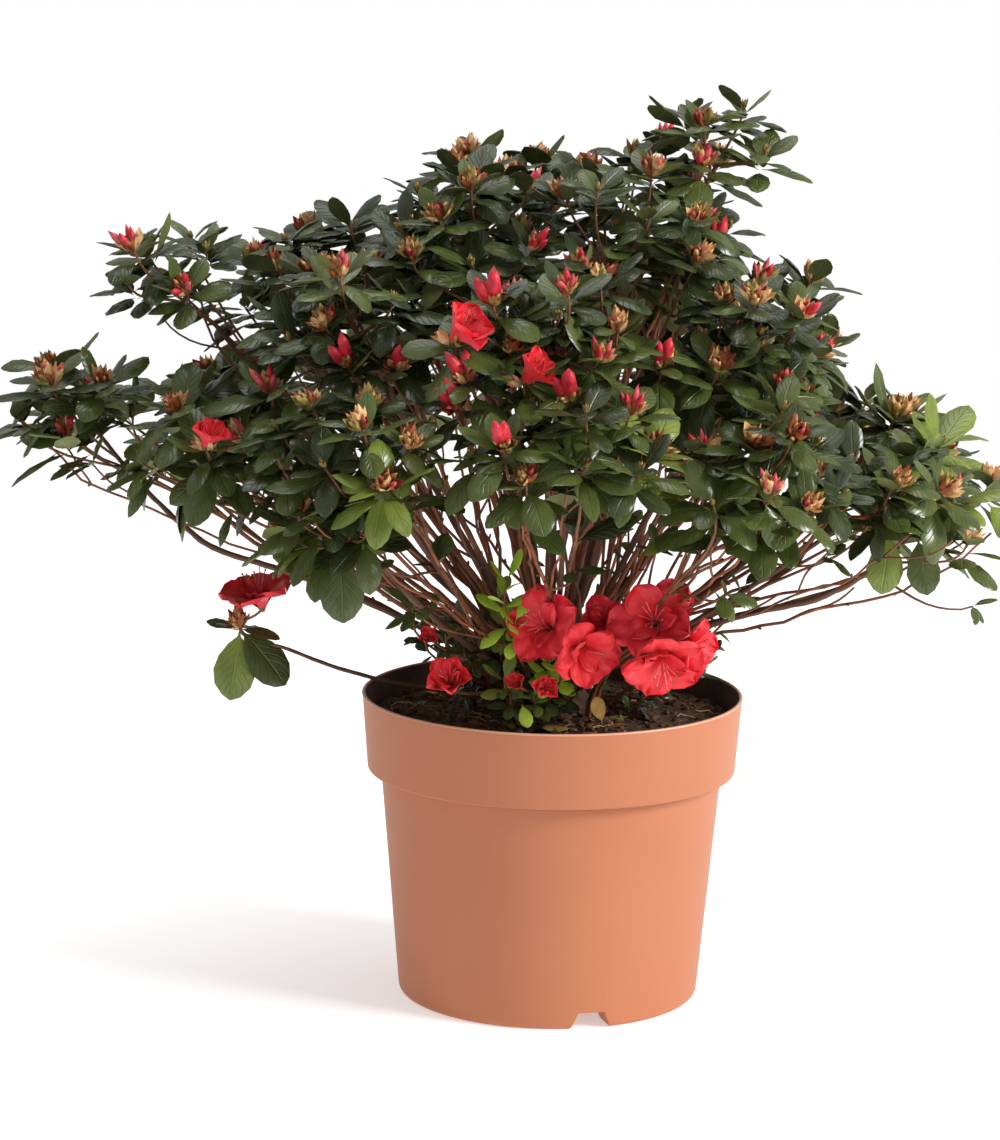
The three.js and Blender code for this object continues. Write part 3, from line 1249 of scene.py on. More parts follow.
def ring_mesh(name: str, loops: Sequence[Sequence[Vector]], finishes: Sequence[Finish]) -> Object:
    """Joins loops of points into a closed skin, with a point at each end.

    Args:
        name: The piece's name.
        loops: Loops with the same count of points, the first and last of them single points.
        finishes: The piece's finishes.

    Returns:
        The piece.
    """
    count = max(len(loop) for loop in loops)
    points = [p for loop in loops for p in loop]
    starts = np.cumsum([0, *(len(loop) for loop in loops)])
    faces = []
    for i in range(len(loops) - 1):
        a, b = int(starts[i]), int(starts[i + 1])
        for k in range(count):
            n = (k + 1) % count
            if len(loops[i]) == 1:
                faces.append((a, b + n, b + k))
            elif len(loops[i + 1]) == 1:
                faces.append((a + k, a + n, b))
            else:
                faces.append((a + k, a + n, b + n, b + k))
    mesh = drafted(name, points, faces=faces)
    for finish in finishes:
        mesh.materials.append(finish.material())
    return placed(name, mesh)


def loop(radius: float, height: float, count: int) -> list[Vector]:
    """Gives a count of points round a level circle about +Z."""
    turns = (k * tau / count for k in range(count))
    return [Vector((radius * cos(t), radius * sin(t), height)) for t in turns]


# ---- Pot ----


@dataclass
class Pot:
    """The moulded pot: a tapered body, a deep collar and a foot ring with notches and drain holes."""

    rim: float = 105 * MM
    height: float = 169 * MM
    collar_foot: float = 101.5 * MM
    collar_height: float = 128 * MM
    body_top: float = 94 * MM
    foot: float = 83 * MM
    rounding: float = 4 * MM
    wall: float = 2 * MM
    floor: float = 2.4 * MM
    channel: tuple[float, float, float] = (48 * MM, 64 * MM, 6 * MM)
    channel_slope: float = 3 * MM
    notch_bearing: float = 287
    notch_widths: tuple[float, float] = (15 * MM, 23 * MM)
    notch_height: float = 9.5 * MM
    notch_inner: float = 56 * MM
    skin: float = 1.8 * MM
    drain_radius: float = 4.5 * MM
    drain_reach: tuple[float, float] = (1 * MM, 14 * MM)
    crease: float = 0.45
    sides: int = 144

    def outside(self) -> list[tuple[float, float]]:
        """Lists the outline of the outside.

        Returns:
            Radius and height of each corner, from the middle of the foot to the rim.
        """
        inner, outer, rise = self.channel
        slope = self.channel_slope
        corners = [(0, 0), (inner, 0), (inner + slope, rise), (outer - slope, rise), (outer, 0)]
        middle = self.foot - self.rounding
        for k in range(6):
            turn = radians(18 * k)
            corners.append((middle + self.rounding * sin(turn), self.rounding * (1 - cos(turn))))
        step = self.collar_height
        corners.append((self.body_top - 0.1 * MM, step - 3.2 * MM))
        corners.extend(self.bow(self.body_top, step - 2.4 * MM, 0.8 * MM, 180, 90))
        corners.append((self.collar_foot - 1.6 * MM, step - 1.2 * MM))
        corners.extend(self.bow(self.collar_foot - 1.4 * MM, step, 1.4 * MM, -70, 0))
        corners.append((self.rim - 0.5 * MM, self.height - 3 * MM))
        corners.extend(self.bow(self.rim - 0.9 * MM, self.height - 0.9 * MM, 0.9 * MM, 0, 90))
        return corners

    @staticmethod
    def bow(radius: float, height: float, size: float, start: float, end: float) -> list[tuple[float, float]]:
        """Lists five points of a small arc of the outline round a middle, between two angles in degrees."""
        turns = [radians(mix(start, end, k / 4)) for k in range(5)]
        return [(radius + size * cos(t), height + size * sin(t)) for t in turns]

    def inside(self) -> list[tuple[float, float]]:
        """Lists the outline of the inside.

        Returns:
            Radius and height of each corner, from the rim to the middle of the floor.
        """
        inner, outer, rise = self.channel
        slope, wall, floor = self.channel_slope, self.wall, self.floor
        corners = self.bow(self.rim - wall + 0.7 * MM, self.height - 0.7 * MM, 0.7 * MM, 90, 180)
        return [
            *corners,
            (self.collar_foot - wall, self.collar_height + 1 * MM),
            (self.body_top - wall, self.collar_height - 1 * MM),
            (self.foot - wall + 0.3 * MM, self.rounding + floor),
            (self.foot - self.rounding, floor),
            (outer + wall, floor),
            (outer - slope + wall, rise + floor),
            (inner + slope - wall, rise + floor),
            (inner - wall, floor),
            (0, floor),
        ]

    def lathed(self, name: str, outline: Sequence[tuple[float, float]]) -> Object:
        """Turns an outline, which starts and ends on the axis, about +Z."""
        loops = [loop(r, z, self.sides) if r > 0 else [Vector((0, 0, z))] for r, z in outline]
        return ring_mesh(name, loops, [POT_PLASTIC, POT_LIP_HIGHLIGHT])

    def block(self, bearing: float, inner: float, grow: float, drop: float) -> Object:
        """Makes a block with sloping sides that lies along a radius.

        Args:
            bearing: The radius's bearing, in degrees.
            inner: Where it starts.
            grow: How much bigger it is than the notch.
            drop: How far it reaches below the ground plane.

        Returns:
            The object.
        """
        top, foot = (w / 2 + grow for w in self.notch_widths)
        height = self.notch_height + grow
        low = foot + (foot - top) / height * drop
        section = ((-low, -drop), (low, -drop), (top, height), (-top, height))
        turn = Matrix.Rotation(radians(bearing), 4, "Z")
        points = [turn @ Vector((reach, y, z)) for reach in (inner, self.rim) for y, z in section]
        faces = [(3, 2, 1, 0), (4, 5, 6, 7), *((k, (k + 1) % 4, (k + 1) % 4 + 4, k + 4) for k in range(4))]
        return placed("block", drafted("block", points, faces=faces))

    @staticmethod
    def combine(piece: Object, other: Object, operation: str) -> None:
        """Joins, cuts or keeps the overlap of two objects and drops the second.

        Args:
            piece: The object that is changed.
            other: The object that changes it.
            operation: The boolean's operation.
        """
        modifier = piece.modifiers.new(operation, "BOOLEAN")
        modifier.object = other
        modifier.operation = operation
        modifier.solver = "EXACT"
        settle(piece)
        bpy.data.objects.remove(other)

    def build(self) -> Object:
        """Builds the pot.

        Returns:
            The piece.
        """
        outside, inside = self.outside(), self.inside()
        piece = self.lathed("pot_body", [*outside, *inside])
        bearings = [self.notch_bearing + 120 * k for k in range(3)]
        for bearing in bearings:
            pocket = self.block(bearing, self.notch_inner, self.skin, 0)
            self.combine(pocket, self.lathed("filled", [*outside, (0, self.height)]), "INTERSECT")
            self.combine(piece, pocket, "UNION")
        for bearing in bearings:
            self.combine(piece, self.block(bearing, self.notch_inner - self.skin, 0, 1 * MM), "DIFFERENCE")
        for k in range(6):
            middle = level_way(radians(self.notch_bearing + 30 + 60 * k)) * sum(self.channel[:2]) / 2
            loops = [[p + middle for p in loop(self.drain_radius, z, 24)] for z in self.drain_reach]
            foot, top = ([middle + UP * z] for z in self.drain_reach)
            self.combine(piece, ring_mesh("drain", [foot, *loops, top], []), "DIFFERENCE")
        self.finish(piece)
        return piece

    def finish(self, piece: Object) -> None:
        """Shades the pot smooth and paints the top of its lip paler, a painted highlight.

        Args:
            piece: The pot.
        """
        mesh = piece.data
        mesh.materials.clear()
        for finish in (POT_PLASTIC, POT_LIP_HIGHLIGHT, POT_INSIDE):
            mesh.materials.append(finish.material())
        draft = bmesh.new()
        draft.from_mesh(mesh)
        bmesh.ops.remove_doubles(draft, verts=draft.verts, dist=1e-6)
        for face in draft.faces:
            face.smooth = True
            # Faces along the very top of the lip take the paler finish, a painted highlight.
            face.material_index = int(min(v.co.z for v in face.verts) > self.height - 1.2 * MM)
            middle = face.calc_center_median()
            out = Vector((middle.x, middle.y, 0))
            if out.dot(face.normal) < -0.5 * out.length and self.channel[2] + self.floor < middle.z:
                on_wall = middle.z < self.height - 1.8 * MM and out.length > self.foot - 9 * MM
                face.material_index = 2 if on_wall else 0
        for edge in draft.edges:
            edge.smooth = len(edge.link_faces) == 2 and edge.calc_face_angle(0) < self.crease
        draft.to_mesh(mesh)
        draft.free()


# ---- Compost ----


@dataclass
class Compost:
    """The compost with its crumbs and fine roots lying on it; the low growth drops the dry leaves on it."""

    edge: float = 99.6 * MM
    edge_height: float = 156 * MM
    middle_height: float = 160.4 * MM
    wall_rings: tuple = ((80.4 * MM, 12 * MM), (90.6 * MM, 126.5 * MM), (98.2 * MM, 130 * MM))
    lump: float = 2.2 * MM
    sides: int = 120
    rows: int = 34
    crumbs: int = 1500
    roots: int = 34
    root_steps: int = 9
    root_step: float = 2.6 * MM
    seed: int = 5

    def height(self, x: float, y: float) -> float:
        """Gives the height of the surface at a place.

        Args:
            x: The place along +X.
            y: The place along +Y.

        Returns:
            The height.
        """
        share = min(1.0, hypot(x, y) / self.edge)
        rise = (self.middle_height - self.edge_height) * (1 - share * share)
        rough = noise.fractal(Vector((x, y, 0)) * 75, 0.9, 2.1, 5)
        return self.edge_height + rise + rough * self.lump * min(1, (1.02 - share) * 8)

    def surface(self) -> Object:
        """Makes the body of the compost.

        Returns:
            The piece.
        """
        rings = []
        for k in range(self.rows):
            level = loop(self.edge * (1 - k / self.rows), 0, self.sides)
            rings.append([Vector((p.x, p.y, self.height(p.x, p.y))) for p in level])
        wall = [loop(radius, height, self.sides) for radius, height in self.wall_rings]
        foot, top = [UP * self.wall_rings[0][1]], [UP * self.middle_height]
        return smooth(ring_mesh("compost", [foot, *wall, *rings, top], [COMPOST]))

    def crumb_shapes(self) -> list[Shape]:
        """Makes the crumbs' shapes.

        Returns:
            Three lumps and a splinter.
        """
        chance = random.Random(self.seed)
        shapes = []
        for squash in (0.8, 0.6, 0.9, 0.35):
            draft = bmesh.new()
            bmesh.ops.create_icosphere(draft, subdivisions=1, radius=1)
            shape = Shape()
            for vertex in draft.verts:
                vertex.index = len(shape.points)
                uneven = chance.uniform(0.7, 1.15)
                x, y, z = vertex.co
                shape.points.append(Vector((x, y * squash, z * squash)) * uneven)
            shape.faces = [tuple(v.index for v in face.verts) for face in draft.faces]
            draft.free()
            shapes.append(shape.plain(Part.TOP))
        return shapes

    def scattered(self) -> dict[str, Object]:
        """Makes the crumbs.

        Returns:
            The pieces by name.
        """
        chance = random.Random(self.seed)
        pale = Finish("crumb_pale", tint(92, 66, 44), tint(150, 116, 78), 90, 900, 0.0004, 0.9)
        scatter = Scatter(self.crumb_shapes(), [[CRUMB], [COMPOST], [pale]])
        for _ in range(self.crumbs):
            reach = sqrt(chance.random()) * self.edge * 0.965
            turn = chance.uniform(0, tau)
            x, y = reach * cos(turn), reach * sin(turn)
            size = chance.uniform(0.8, 1.6) ** 2 * MM
            long = chance.choice((1, 1, 1.5, 2.2))
            spot = Vector((x, y, self.height(x, y) + size * 0.2))
            spin = Euler((chance.uniform(-0.5, 0.5), chance.uniform(-0.5, 0.5), chance.uniform(0, 6)))
            finish = chance.choices((0, 1, 2), (10, 8, 1))[0]
            scale = Vector((size * long, size, size))
            scatter.put("crumbs", Place(spot, spin, scale, chance.randrange(4), finish))
        return scatter.build()

    def rootlets(self) -> Object:
        """Makes the fine pale roots that lie on the surface.

        Returns:
            The piece.
        """
        chance = random.Random(self.seed + 1)
        lines = []
        for _ in range(self.roots):
            turn = chance.uniform(0, tau)
            x, y = (chance.uniform(0.25, 0.9) * self.edge * f(turn) for f in (cos, sin))
            heading = chance.uniform(0, tau)
            points = []
            for _step in range(self.root_steps):
                heading += chance.uniform(-0.5, 0.5)
                x += self.root_step * cos(heading)
                y += self.root_step * sin(heading)
                if hypot(x, y) > self.edge * 0.94:
                    break
                points.append(Vector((x, y, self.height(x, y) + chance.uniform(0.6, 2.2) * MM)))
            if len(points) > 2:
                lines.append(Line(points, [mix(0.42, 0.2, k / len(points)) * MM for k in range(len(points))]))
        return Tubes("rootlets", ROOTLET, 5, 0.1, lines).build()

    def build(self) -> None:
        """Builds the compost and what lies on it."""
        hand_over(self.surface(), "soil", "soil")
        for piece in self.scattered().values():
            hand_over(piece, "soil")
        hand_over(self.rootlets(), "soil")


# ---- Trunk and limbs ----


def centre_line(node: str, slices: int = 9) -> Line:
    """Finds the centre line of a solid limb.

    Args:
        node: The limb's node.
        slices: How many cuts are taken across it.

    Returns:
        The line from root to tip.
    """
    mesh = frame["nodes"][node].data
    points = np.array([tuple(v.co) for v in mesh.vertices])
    edges = np.array([tuple(e.vertices) for e in mesh.edges])
    middle = points.mean(0)
    axis = np.linalg.svd(points - middle)[2][0]
    from_fork = middle - (0, 0, FORK_HEIGHT)
    if np.linalg.norm(from_fork + axis * 0.05) < np.linalg.norm(from_fork - axis * 0.05):
        axis = -axis
    depth = (points - middle) @ axis
    low, high = depth.min(), depth.max()
    centres, girths = [], []
    for k in range(slices):
        level = low + (high - low) * (k + 0.5) / slices
        a, b = depth[edges[:, 0]], depth[edges[:, 1]]
        hit = (a - level) * (b - level) < 0
        share = ((level - a[hit]) / (b[hit] - a[hit]))[:, None]
        crossings = points[edges[hit, 0]] * (1 - share) + points[edges[hit, 1]] * share
        centre = crossings.mean(0)
        centres.append(Vector(centre))
        girths.append(float(np.linalg.norm(crossings - centre, axis=1).mean()))
    return Line(centres, girths)


@dataclass
class Trunk:
    """The short flared stem that the boughs leave from."""

    sides: int = 60
    rows: int = 26
    flutes: int = 5
    sunk: float = 5 * MM

    def build(self) -> Object:
        """Builds the trunk.

        Returns:
            The piece.
        """
        low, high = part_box("trunk")
        foot, top = (high.x - low.x) / 2 * 0.93, 12 * MM
        middle = (low + high) / 2
        loops, marks = [], []
        for row in range(self.rows):
            share = row / (self.rows - 1)
            height = mix(low.z - self.sunk, high.z, share)
            flare = mix(top, foot, (1 - share) ** 2.2) * (1 if share < 0.94 else 0.8)
            ring_points = []
            for k in range(self.sides):
                turn = k * tau / self.sides
                out = level_way(turn)
                groove = 1 + 0.12 * (1 - share) * sin(self.flutes * turn + 1)
                rough = 1 + 0.12 * noise.noise(out * 3 + UP * height * 90) + 0.05 * noise.noise(out * 9)
                radius = flare * groove * rough
                ring_points.append(Vector((middle.x * share, middle.y * share, height)) + out * radius)
                marks.append(out * flare * 0.7 + UP * height * ALONG_BARK)
            loops.append(ring_points)
        ends = [[Vector((0, 0, low.z - self.sunk))], [Vector((middle.x, middle.y, high.z + 1 * MM))]]
        piece = ring_mesh("trunk_bark", [ends[0], *loops, ends[1]], [BARK])
        keep(piece.data, "bark", "FLOAT_VECTOR", [ends[0][0], *marks, ends[1][0]])
        return smooth(piece)


BENT = {"bough_arch_inner": "bough_arch_outer", "bough_low_right_inner": "bough_low_right_outer"}

GIRTH_SHARES = {"stem_top_right": 1.15, "bough_arch_inner": 0.66, "runner": 0.8}

SERVED = {
    "foliage_top_right": "stem_top_right",
    "foliage_far_left": "bough_arch_inner",
    "foliage_far_right": "bough_low_right_inner",
    "foliage_runner_tip": "runner",
}


@dataclass
class Boughs:
    """The boughs, stems and runner, each smooth and rough-barked along its solid's centre line."""

    lines: dict[str, Line] = field(default_factory=dict)
    nodes: list[str] = field(default_factory=list)
    seed: int = 7

    def trace(self) -> None:
        """Finds the line of every limb from its solid."""
        chance = random.Random(self.seed)
        starts = ("bough_", "stem_", "runner")
        self.nodes = [name for name in frame["nodes"] if name.startswith(starts)]
        for node in self.nodes:
            if node in BENT.values():
                continue
            line = centre_line(node)
            if node in BENT:
                outer = centre_line(BENT[node])
                line = Line(line.points + outer.points, line.girths + outer.girths)
            ahead = (line.points[0] - line.points[1]).normalized()
            root = line.points[0] + ahead * 9 * MM
            if node == "runner":
                root = line.points[0] + Vector((9, -3, -6)) * MM
            widest = max(line.girths[:3])
            share = GIRTH_SHARES.get(node) or chance.uniform(0.66, 0.95)
            girths = [girth * share for girth in (widest * 1.12, *line.girths)]
            self.lines[node] = smoothed([root, *line.points], girths, 5)

    def serving(self, mass: str) -> Line:
        """Finds the line of the limb that a mass grows from."""
        return self.lines[SERVED.get(mass, mass.replace("foliage_", "bough_"))]

    def build(self) -> None:
        """Builds the limbs as one piece."""
        tubes = Tubes("boughs", BARK, 12, 0.55, list(self.lines.values()))
        hand_over(tubes.build(), "bark", *self.nodes)


# ---- Foliage ----


@dataclass
class Shoot:
    """The end of a twig: a whorl of leaves round whatever it carries."""

    tip: Vector
    axis: Vector
    mass: str
    stage: Stage
    tone: Tone
    leaves: int
    length: float


# For each mass, its shoots that stand out: shares across and up its box, what each carries and its leaves.
FEATURES = {
    "shoulder_6": (
        (0.02, 0.56, Stage.OPEN, 5), (0.09, 0.3, Stage.SPINDLE, 5), (0.04, 0.12, Stage.SPINDLE, 5),
        (0.35, 0.3, Stage.HALF, 5), (0.56, 0.2, Stage.SPINDLE, 7), (0.2, 0.85, Stage.SPINDLE, 7),
        (0.55, 0.95, Stage.TIPPED, 7),
    ),
    "shoulder_5": (
        (0.5, 0.16, Stage.SPINDLE, 7), (0.75, 0.14, Stage.SPINDLE, 7), (0.45, 0.8, Stage.TIPPED, 7),
    ),
    "skirt_8": (
        (0.2, 0.5, Stage.SPINDLE, 7), (0.3, 0.25, Stage.TIGHT, 7),
    ),
    "shoulder_7": (
        (0.05, 0.5, Stage.SPINDLE, 7), (0.55, 0.95, Stage.TIGHT, 7), (0.8, 0.85, Stage.TIPPED, 7),
        (0.7, 0.36, Stage.TIGHT, 7),
    ),
    "top_right": (
        (0.4, 0.75, Stage.TIGHT, 7), (0.38, 0.25, Stage.TIPPED, 7),
    ),
    "crest_1": (
        (0.1, 0.75, Stage.TIGHT, 7),
    ),
    "crest_4": (
        (0.24, 0.2, Stage.TIPPED, 7), (0.8, 0.3, Stage.TIGHT, 7),
    ),
    "crest_3": (
        (0.85, 0.4, Stage.TIPPED, 7), (0.22, 0.32, Stage.TIGHT, 7),
    ),
    "crest_2": (
        (0.34, 0.9, Stage.TIGHT, 7),
    ),
    "skirt_6": (
        (0.53, 0.5, Stage.HALF, 5), (0.9, 0.95, Stage.TIPPED, 7), (0.95, 0.35, Stage.TIPPED, 7),
    ),
    "skirt_7": (
        (0.55, 0.75, Stage.TIGHT, 7), (0.66, 0.3, Stage.TIGHT, 7),
    ),
    "skirt_9": (
        (0.6, 0.85, Stage.TIGHT, 7), (0.5, 0.45, Stage.TIPPED, 7),
    ),
    "far_left": (
        (0.5, 0.1, Stage.TIPPED, 7), (0.4, 0.9, Stage.TIGHT, 7), (0.72, 0.9, Stage.TIGHT, 7),
    ),
    "upper_left": (
        (0.23, 0.85, Stage.TIPPED, 7), (0.6, 0.4, Stage.TIPPED, 7),
    ),
    "far_right": (
        (0.5, 0.62, Stage.TIPPED, 7),
    ),
}

PIECE_OF = {
    "crest": "leaves_crest",
    "top": "leaves_crest",
    "shoulder": "leaves_shoulder",
    "skirt": "leaves_skirt",
}

# For a kind of mass, or for one mass, how often its leaves are dark, mid and light.
TONES = {
    "crest": (12, 3, 0),
    "top": (10, 4, 0),
    "shoulder": (10, 5, 0),
    "skirt": (8, 8, 1),
    "upper": (8, 7, 0),
    "low": (4, 8, 5),
    "far_left": (7, 8, 1),
    "far_right": (3, 7, 4),
    "skirt_10": (3, 7, 4),
}

USUAL_TONES = (7, 7, 2)

# How much wider apart than usual the shoots of a mass stand.
SPARSE = {
    "top_right": 1.25,
    "crest_1": 1.1,
    "crest_2": 1.1,
    "crest_3": 1.1,
    "crest_4": 1.15,
    "far_right": 1.2,
    "upper_left": 1.15,
    "far_left": 1.1,
    "low_left": 1.2,
}


@dataclass
class Foliage:
    """Branches, twigs, leaves, buds and blooms grown from the boughs into the masses."""

    boughs: Boughs
    seed: int = 41
    spacing: float = 25 * MM
    inset: float = 9 * MM
    straying: float = 15 * MM
    sinking: float = 5 * MM
    margin: float = 14 * MM
    hedge_reach: float = 26 * MM
    inner_share: float = 0.3
    under_share: float = 0.15
    tries: int = 420
    fan_stems: int = 2
    stubs: int = 4
    served: int = 4
    shoots: list[Shoot] = field(default_factory=list)
    branches: Tubes = field(default_factory=lambda: Tubes("branches", BRANCH_BARK, 8, 0.35))
    twigs: Tubes = field(default_factory=lambda: Tubes("twigs", TWIG_BARK, 6, 0.25))

    def __post_init__(self) -> None:
        """Sets up the leaf, bud and bloom kits."""
        self.chance = random.Random(self.seed)
        self.low, self.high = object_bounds()
        self.leaves = Scatter([form.shape() for form in LEAF_FORMS], leaf_finishes())
        self.buds = Scatter(list(BUD_SHAPES.values()), bud_finishes())
        spreads = (1, 0.95, 0.8, 0.25, 0.55, 0.45)
        shapes = [bloom_shape(spread, number + 1) for number, spread in enumerate(spreads)]
        self.blooms = Scatter(shapes, bloom_finishes())
        self.masses = [name for name in frame["nodes"] if name.startswith("foliage_")]
        skip = ("foliage_base", "foliage_runner_tip")
        self.crown = [name for name in self.masses if name not in skip]

    def skin_points(self, mass: str, hedge: BVHTree) -> list[tuple[Vector, Vector, bool]]:
        """Picks points all over a mass's solid.

        Args:
            mass: The mass's node.
            hedge: Every mass's faces, for finding what faces another mass.

        Returns:
            Points with their normals, and whether each faces another mass.
        """
        mesh = frame["nodes"][mass].data
        mesh.calc_loop_triangles()
        corners = [[mesh.vertices[v].co for v in t.vertices] for t in mesh.loop_triangles]
        areas = [(b - a).cross(c - a).length for a, b, c in corners]
        picked = []
        for a, b, c in self.chance.choices(corners, areas, k=self.tries):
            u, v = self.chance.random(), self.chance.random()
            if u + v > 1:
                u, v = 1 - u, 1 - v
            normal = (b - a).cross(c - a).normalized()
            point = a + (b - a) * u + (c - a) * v
            hit = hedge.ray_cast(point + normal * 2 * MM, normal, self.hedge_reach)[0]
            picked.append((point, normal, hit is not None))
        return picked

    def plan(self) -> None:
        """Chooses the tip, axis and load of every shoot."""
        points, faces = [], []
        for mass in self.crown:
            mesh = frame["nodes"][mass].data
            first = len(points)
            points.extend(v.co.copy() for v in mesh.vertices)
            faces.extend(tuple(first + v for v in p.vertices) for p in mesh.polygons)
        hedge = BVHTree.FromPolygons(points, faces)
        self.place_features()
        for mass in self.crown:
            for point, normal, inner in self.skin_points(mass, hedge):
                kept = self.inner_share if inner else 1.0
                if normal.z < -0.35:
                    kept *= self.under_share
                if self.chance.random() > kept:
                    continue
                tip = point - normal * self.inset
                if not inner and normal.z > 0:
                    tip += UP * (self.straying * self.chance.random() ** 2 - self.sinking)
                gap = self.spacing * (1.15 if inner else 1.0) * self.chance.uniform(0.88, 1.15)
                gap *= SPARSE.get(mass.removeprefix("foliage_"), 1.0)
                if all((tip - other.tip).length > gap for other in self.shoots):
                    self.shoots.append(self.shoot(mass, tip, normal, inner))
        LOG.info("shoots: %d", len(self.shoots))

    def place_features(self) -> None:
        """Places the shoots whose load is known first."""
        for name, rows in FEATURES.items():
            mass = f"foliage_{name}"
            low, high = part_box(mass)
            mesh = frame["nodes"][mass].data
            tree = BVHTree.FromPolygons([v.co for v in mesh.vertices], [p.vertices for p in mesh.polygons])
            for across, up, stage, leaves in rows:
                x, z = mix(low.x, high.x, across), mix(low.z, high.z, up)
                hit, normal, _, _ = tree.find_nearest(Vector((x, mix(low.y, high.y, 0.1), z)))
                tip = Vector((x, hit.y, z)) + Vector((0, -2, 0)) * MM
                shoot = self.shoot(mass, tip, (normal + Vector((0, -0.7, 0.3))).normalized(), False)
                shoot.stage, shoot.leaves = stage, leaves
                self.shoots.append(shoot)

    def shoot(self, mass: str, tip: Vector, normal: Vector, inner: bool) -> Shoot:
        """Makes a shoot.

        Args:
            mass: The mass's node.
            tip: Its tip.
            normal: The mass's normal there.
            inner: Whether it faces another mass.

        Returns:
            The shoot.
        """
        kind = mass.split("_")[1]
        chance = self.chance
        for k in (0, 1):
            tip[k] = min(max(tip[k], self.low[k] + self.margin), self.high[k] - self.margin)
        out = (tip - CROWN_HEART).normalized()
        axis = normal * 0.4 + UP * 0.75 + out * 0.3 + jitter(chance, 0.25)
        weights = TONES.get(mass.removeprefix("foliage_")) or TONES.get(kind, USUAL_TONES)
        tone = Tone(chance.choices((0, 1, 2), weights)[0])
        stages = (Stage.BARE, Stage.TIGHT, Stage.TIPPED, Stage.SPINDLE)
        odds = (9, 1, 0, 0) if inner or normal.z < -0.2 else (6, 8, 1.3, 0.1)
        stage = chance.choices(stages, odds)[0]
        leaves = chance.randint(6, 8) if inner else chance.randint(7, 10)
        length = chance.uniform(25, 33) * MM * (1.06 if kind in ("skirt", "far") else 1)
        return Shoot(tip, axis.normalized(), mass, stage, tone, leaves, length)

    def grow_wood(self) -> None:
        """Grows branches from each bough and twigs from each branch to the shoots."""
        for mass in self.crown:
            waiting = [s for s in self.shoots if s.mass == mass]
            bough = self.boughs.serving(mass)
            first = True
            while waiting:
                lead = max(waiting, key=lambda s: (s.tip - bough.points[-1]).length)
                waiting.sort(key=lambda s: (s.tip - lead.tip).length)
                cluster, waiting = waiting[: self.served], waiting[self.served :]
                self.grow_branch(bough, cluster, first)
                first = False

    def grow_fan(self) -> None:
        """Grows the thinner stems that fan out from the trunk between the boughs."""
        chance = self.chance
        for mass in self.crown:
            low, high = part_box(mass)
            middle = (low + high) / 2
            bearing = atan2(middle.y, middle.x)
            for _ in range(self.fan_stems):
                turn = bearing + chance.uniform(-0.7, 0.7)
                reach = chance.uniform(4, 19) * MM
                root = Vector((reach * cos(turn), reach * sin(turn), chance.uniform(168, 186) * MM))
                shares = Vector([chance.uniform(*limits) for limits in ((0.2, 0.8), (0.2, 0.8), (0.1, 0.4))])
                end = Vector([mix(a, b, s) for a, b, s in zip(low, high, shares)])
                ahead = (end - root).normalized()
                leave = (Vector((cos(turn), sin(turn), 1.1)) + ahead).normalized()
                arrive = (ahead + UP * chance.uniform(0, 0.6)).normalized()
                girth = chance.uniform(0.8, 1.35) * MM
                stem = curve(root, leave, arrive, end, (girth, 0.6 * MM), 22)
                self.waver(stem, 4 * MM)
                self.add_stubs(stem)
                self.branches.lines.append(stem)
                self.add_spurs(stem)

    def add_spurs(self, stem: Line) -> None:
        """Grows thin side twigs from a stem, some with a leaf or two.

        Args:
            stem: The stem's line.
        """
        chance = self.chance
        for _ in range(chance.randint(1, 3)):
            start, ahead, girth = stem.at(chance.uniform(0.35, 0.9))
            side = jitter(chance, 1).cross(ahead).normalized()
            go = (ahead + side * 0.8 + UP * 0.3).normalized()
            end = start + (go + ahead * 0.5).normalized() * chance.uniform(30, 70) * MM
            spur = curve(start, go, (ahead + UP * 0.5).normalized(), end, (min(girth, 1 * MM), 0.55 * MM), 8)
            self.waver(spur, 2 * MM)
            self.twigs.lines.append(spur)
            if chance.random() < 0.45:
                axis = (end - start).normalized()
                for k in range(chance.randint(2, 4)):
                    along = (beside(axis, k * GOLDEN_TURN) + axis * 0.8).normalized()
                    self.leaf("leaves_low", end, along, axis + UP, chance.uniform(12, 21) * MM, Tone.MID)

    def grow_branch(self, bough: Line, cluster: list[Shoot], first: bool) -> None:
        """Grows one branch and its twigs.

        Args:
            bough: The bough it leaves.
            cluster: The shoots it serves.
            first: Whether it carries on from the bough's end.
        """
        chance = self.chance
        middle = sum((s.tip for s in cluster), Vector()) / len(cluster)
        lean = sum((s.axis for s in cluster), Vector()).normalized()
        share = TIP
        if not first:
            share = chance.choice((0.08, 0.14, 0.25, 0.4, 0.6, 0.8)) + chance.uniform(-0.05, 0.05)
        start, ahead, girth = bough.at(share)
        fork = start.lerp(middle - lean * 14 * MM, 0.74)
        thick = girth if first else min(girth * 0.85, mix(1.6, 1.2, share) * MM)
        tip_girth = min(thick, 0.95 * MM)
        away = (fork - start).normalized()
        leave = (ahead + away * (0.3 if first else 0.8)).normalized()
        arrive = (away + lean * 0.5).normalized()
        branch = curve(start, leave, arrive, fork, (thick, tip_girth), 14)
        self.waver(branch, 1.9 * MM)
        self.branches.lines.append(branch)
        self.add_stubs(branch)
        for shoot in cluster:
            share = chance.choice((0.72, 0.86, TIP)) if len(cluster) > 1 else TIP
            leaving, heading, radius = branch.at(share)
            go = (heading + (shoot.tip - leaving).normalized()).normalized()
            twig = curve(leaving, go, shoot.axis, shoot.tip, (radius * 0.9, 0.65 * MM), 9)
            self.waver(twig, 0.8 * MM)
            self.twigs.lines.append(twig)
            self.dress(shoot, twig)

